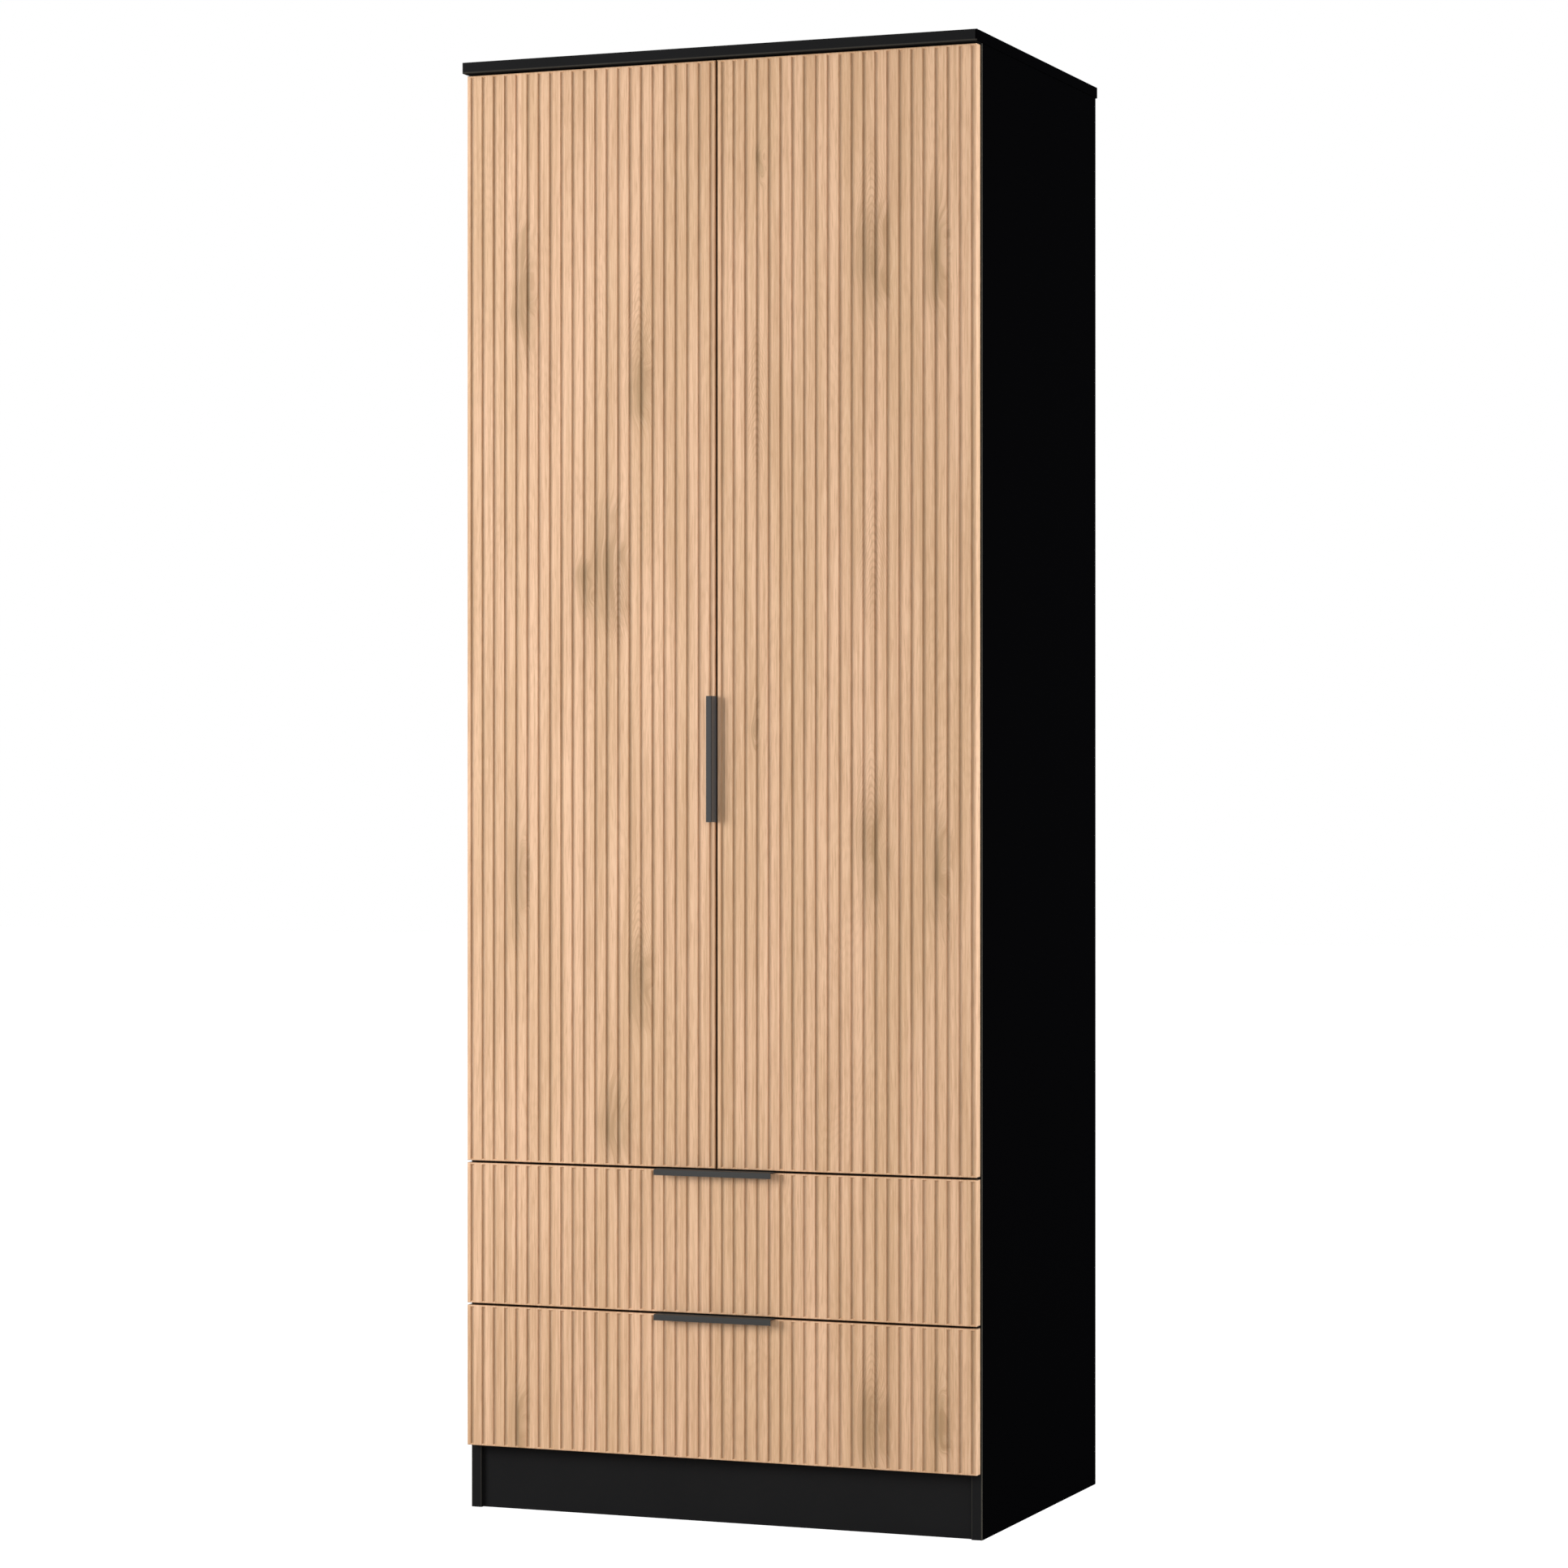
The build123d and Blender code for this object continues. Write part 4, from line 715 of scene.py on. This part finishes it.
# Lighter lines along the front edges of the sides and along the top board's front arris: a painted highlight.
front_edge = ranged(tree, split.outputs[1], -0.2302, -0.2314)
outer_edge = ranged(tree, from_middle, 0.3665, 0.3680)
past_inner_face = ranged(tree, from_middle, 0.3534, 0.3536, 0.0, 0.35)
inner_edge = maths(tree, "MULTIPLY", past_inner_face, ranged(tree, from_middle, 0.3550, 0.3544))
both_edges = maths(tree, "MAXIMUM", inner_edge, outer_edge)
painted_edge_light = maths(tree, "MULTIPLY", front_edge, both_edges)
under_top_board = ranged(tree, split.outputs[2], 1.9550, 1.9545)
painted_edge_light = maths(tree, "MULTIPLY", painted_edge_light, under_top_board)
top_front = ranged(tree, split.outputs[1], -0.2560, -0.2575, 0.0, 0.45)
top_edge = maths(tree, "MULTIPLY", top_front, ranged(tree, split.outputs[2], 1.9572, 1.9562))
painted_edge_light = maths(tree, "MAXIMUM", painted_edge_light, top_edge)
board = mixed(tree, painted_edge_light, board, colour(84, 81, 74))
tree.links.new(board, shader.inputs["Base Color"])
paint_nodes(black_board, "side_panel_left", "side_panel_right", "top_panel", "base_panel", "middle_panel",
            "plinth_front", "plinth_rear", "hat_shelf")


# ---------------------------------------------------------------- back panel and its nails
# A 3 mm hardboard sheet, lacquered dark on both faces, let into rebates of the sides and held by
# small flat-headed nails along the sides and into the fixed panels.
def pressed_fibres(tree):
    """Short tangled fibres of hardboard under its lacquer."""
    return noise(tree, object_place(tree), 260.0, 5.0, ("Distortion", 1.2))


hardboard, tree, shader, _ = new_finish("hardboard", roughness=0.7, unevenness=0.15, texture_size=420.0,
                                        relief=0.35, relief_depth=0.0004, Specular_IOR_Level=0.1)
lacquer = mixed(tree, pressed_fibres(tree), (0.018, 0.017, 0.016, 1), (0.034, 0.032, 0.03, 1))
tree.links.new(lacquer, shader.inputs["Base Color"])
paint_nodes(hardboard, "back_panel")

paint_nodes(zinc, "back_panel_nails", "shelf_pins")

beech, tree, shader, _ = new_finish("dowel_wood", roughness=0.7, unevenness=0.1, texture_size=900.0, relief=0.1,
                                    relief_depth=0.0002, Specular_IOR_Level=0.2)
feeds = (("Place", object_place(tree)), ("Across", 1.4), ("Along", 3.0))
grain = add_node(tree, "ShaderNodeGroup", feeds, node_tree=grain_group)
lines = ranged(tree, grain.outputs["Fibre"], 0.35, 0.7)
tree.links.new(mixed(tree, lines, colour(222, 190, 150), colour(198, 160, 118)), shader.inputs["Base Color"])
paint_nodes(beech, "carcass_dowels")


# ---------------------------------------------------------------- hanging rail and its brackets
# An oval chromed steel tube for hangers, pushed into black plastic sockets screwed to the sides.
chrome = two_tone_finish("rail_chrome", colour(208, 209, 211), colour(224, 225, 227), roughness=0.12,
                         unevenness=0.1, texture_size=60.0, relief=0.02, relief_depth=0.0001, Metallic=1.0)


def refined(node, name, material, body, arris):
    """Piece with the shape of a CAD node, its doubles merged and its arrises rounded."""
    piece = bpy.data.objects.new(name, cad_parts[node].data.copy())
    piece.data.name = name
    bpy.context.scene.collection.objects.link(piece)
    edit(piece)
    bpy.ops.mesh.select_all(action="SELECT")
    bpy.ops.mesh.remove_doubles(threshold=TOUCHING)
    bpy.ops.mesh.dissolve_limited(angle_limit=math.radians(0.5))
    done()
    modify(piece, "BEVEL", width=arris, segments=2, limit_method="ANGLE", angle_limit=math.radians(42),
           use_clamp_overlap=True)
    smooth(piece)
    dress(piece, material, body, node)


refined("hanging_rail", "oval_rail", chrome, "carcass", arris=0.0004)
black_plastic = two_tone_finish("bracket_plastic", (0.022, 0.022, 0.023, 1), (0.03, 0.03, 0.031, 1), roughness=0.5,
                                unevenness=0.12, texture_size=1800.0, relief=0.12, relief_depth=0.0001,
                                Specular_IOR_Level=0.4)
refined("rail_brackets", "rail_sockets", black_plastic, "carcass", arris=0.0004)


# ---------------------------------------------------------------- hinges
# Pressed and nickel-plated steel: a cup let into the door, a gooseneck arm on a pin through the cup,
# and a cross-shaped plate on the side panel that the arm is screwed to.
nickel = two_tone_finish("hinge_steel", colour(186, 184, 178), colour(208, 206, 200), roughness=0.34,
                         unevenness=0.22, texture_size=900.0, relief=0.05, relief_depth=0.0001, Metallic=1.0)
refined("hinge_arms", "gooseneck_arms", nickel, "carcass", arris=0.00025)
refined("hinge_plates", "cross_plates", nickel, "carcass", arris=0.0003)
for side in ("left", "right"):
    refined(f"{side}_hinge_cups", f"{side}_door_cups", nickel, f"{side}_door", arris=0.00025)
    refined(f"{side}_hinge_pins", f"{side}_door_pins", nickel, f"{side}_door", arris=0.0001)


# ---------------------------------------------------------------- drawer boxes
# Sides and back of 12 mm board in light grey foil, doweled to each other and to the front, with a
# 3 mm lacquered hardboard bottom in a groove. The handle's screws come through from the front's back.
grey_foil, tree, shader, _ = new_finish("drawer_board", roughness=0.55, unevenness=0.12, texture_size=1200.0,
                                        relief=0.08, relief_depth=0.0001, Specular_IOR_Level=0.3)
feeds = (("Vector", object_place(tree)), ("Scale", (500.0, 14.0, 500.0)))
threads = noise(tree, add_node(tree, "ShaderNodeMapping", feeds).outputs[0], 1.0, 3.0)
tree.links.new(mixed(tree, threads, colour(188, 187, 184), colour(202, 201, 197)), shader.inputs["Base Color"])
light_hardboard, tree, shader, _ = new_finish("drawer_hardboard", roughness=0.6, unevenness=0.12,
                                              texture_size=420.0, relief=0.2, relief_depth=0.0003,
                                              Specular_IOR_Level=0.25)
lacquer = mixed(tree, pressed_fibres(tree), colour(186, 185, 181), colour(200, 199, 195))
tree.links.new(lacquer, shader.inputs["Base Color"])
for name in ("lower", "upper"):
    paint_nodes(grey_foil, f"{name}_drawer_side_left", f"{name}_drawer_side_right", f"{name}_drawer_back")
    paint_nodes(light_hardboard, f"{name}_drawer_bottom")
    paint_nodes(beech, f"{name}_drawer_dowels")


# ---------------------------------------------------------------- roller runners
# White epoxy-coated steel profiles: a channel on each side panel with a nylon roller at its front,
# and an angle under each drawer side with a nylon roller at its rear.
RUNNER_ARRIS = 0.0002
ROLLER_ARRIS = 0.0004

epoxy = two_tone_finish("runner_paint", colour(222, 221, 217), colour(234, 233, 229), roughness=0.38,
                        unevenness=0.12, texture_size=1600.0, relief=0.08, relief_depth=0.0001,
                        Specular_IOR_Level=0.5)
nylon = two_tone_finish("roller_plastic", colour(222, 220, 210), colour(236, 234, 226), roughness=0.42,
                        unevenness=0.12, texture_size=1600.0, relief=0.08, relief_depth=0.0001,
                        Specular_IOR_Level=0.45)
for name in ("lower", "upper"):
    drawer = f"{name}_drawer"
    for side in ("left", "right"):
        channel, angle = f"{name}_channel_{side}", f"{name}_angle_{side}"
        refined(f"{name}_cabinet_runner_{side}", channel, epoxy, "carcass", RUNNER_ARRIS)
        refined(f"{drawer}_runner_{side}", angle, epoxy, drawer, RUNNER_ARRIS)
    for rollers, place in ((f"{name}_cabinet_rollers", "front"), (f"{name}_drawer_rollers", "rear")):
        refined(rollers, f"{name}_{place}_rollers", nylon, rollers, ROLLER_ARRIS)
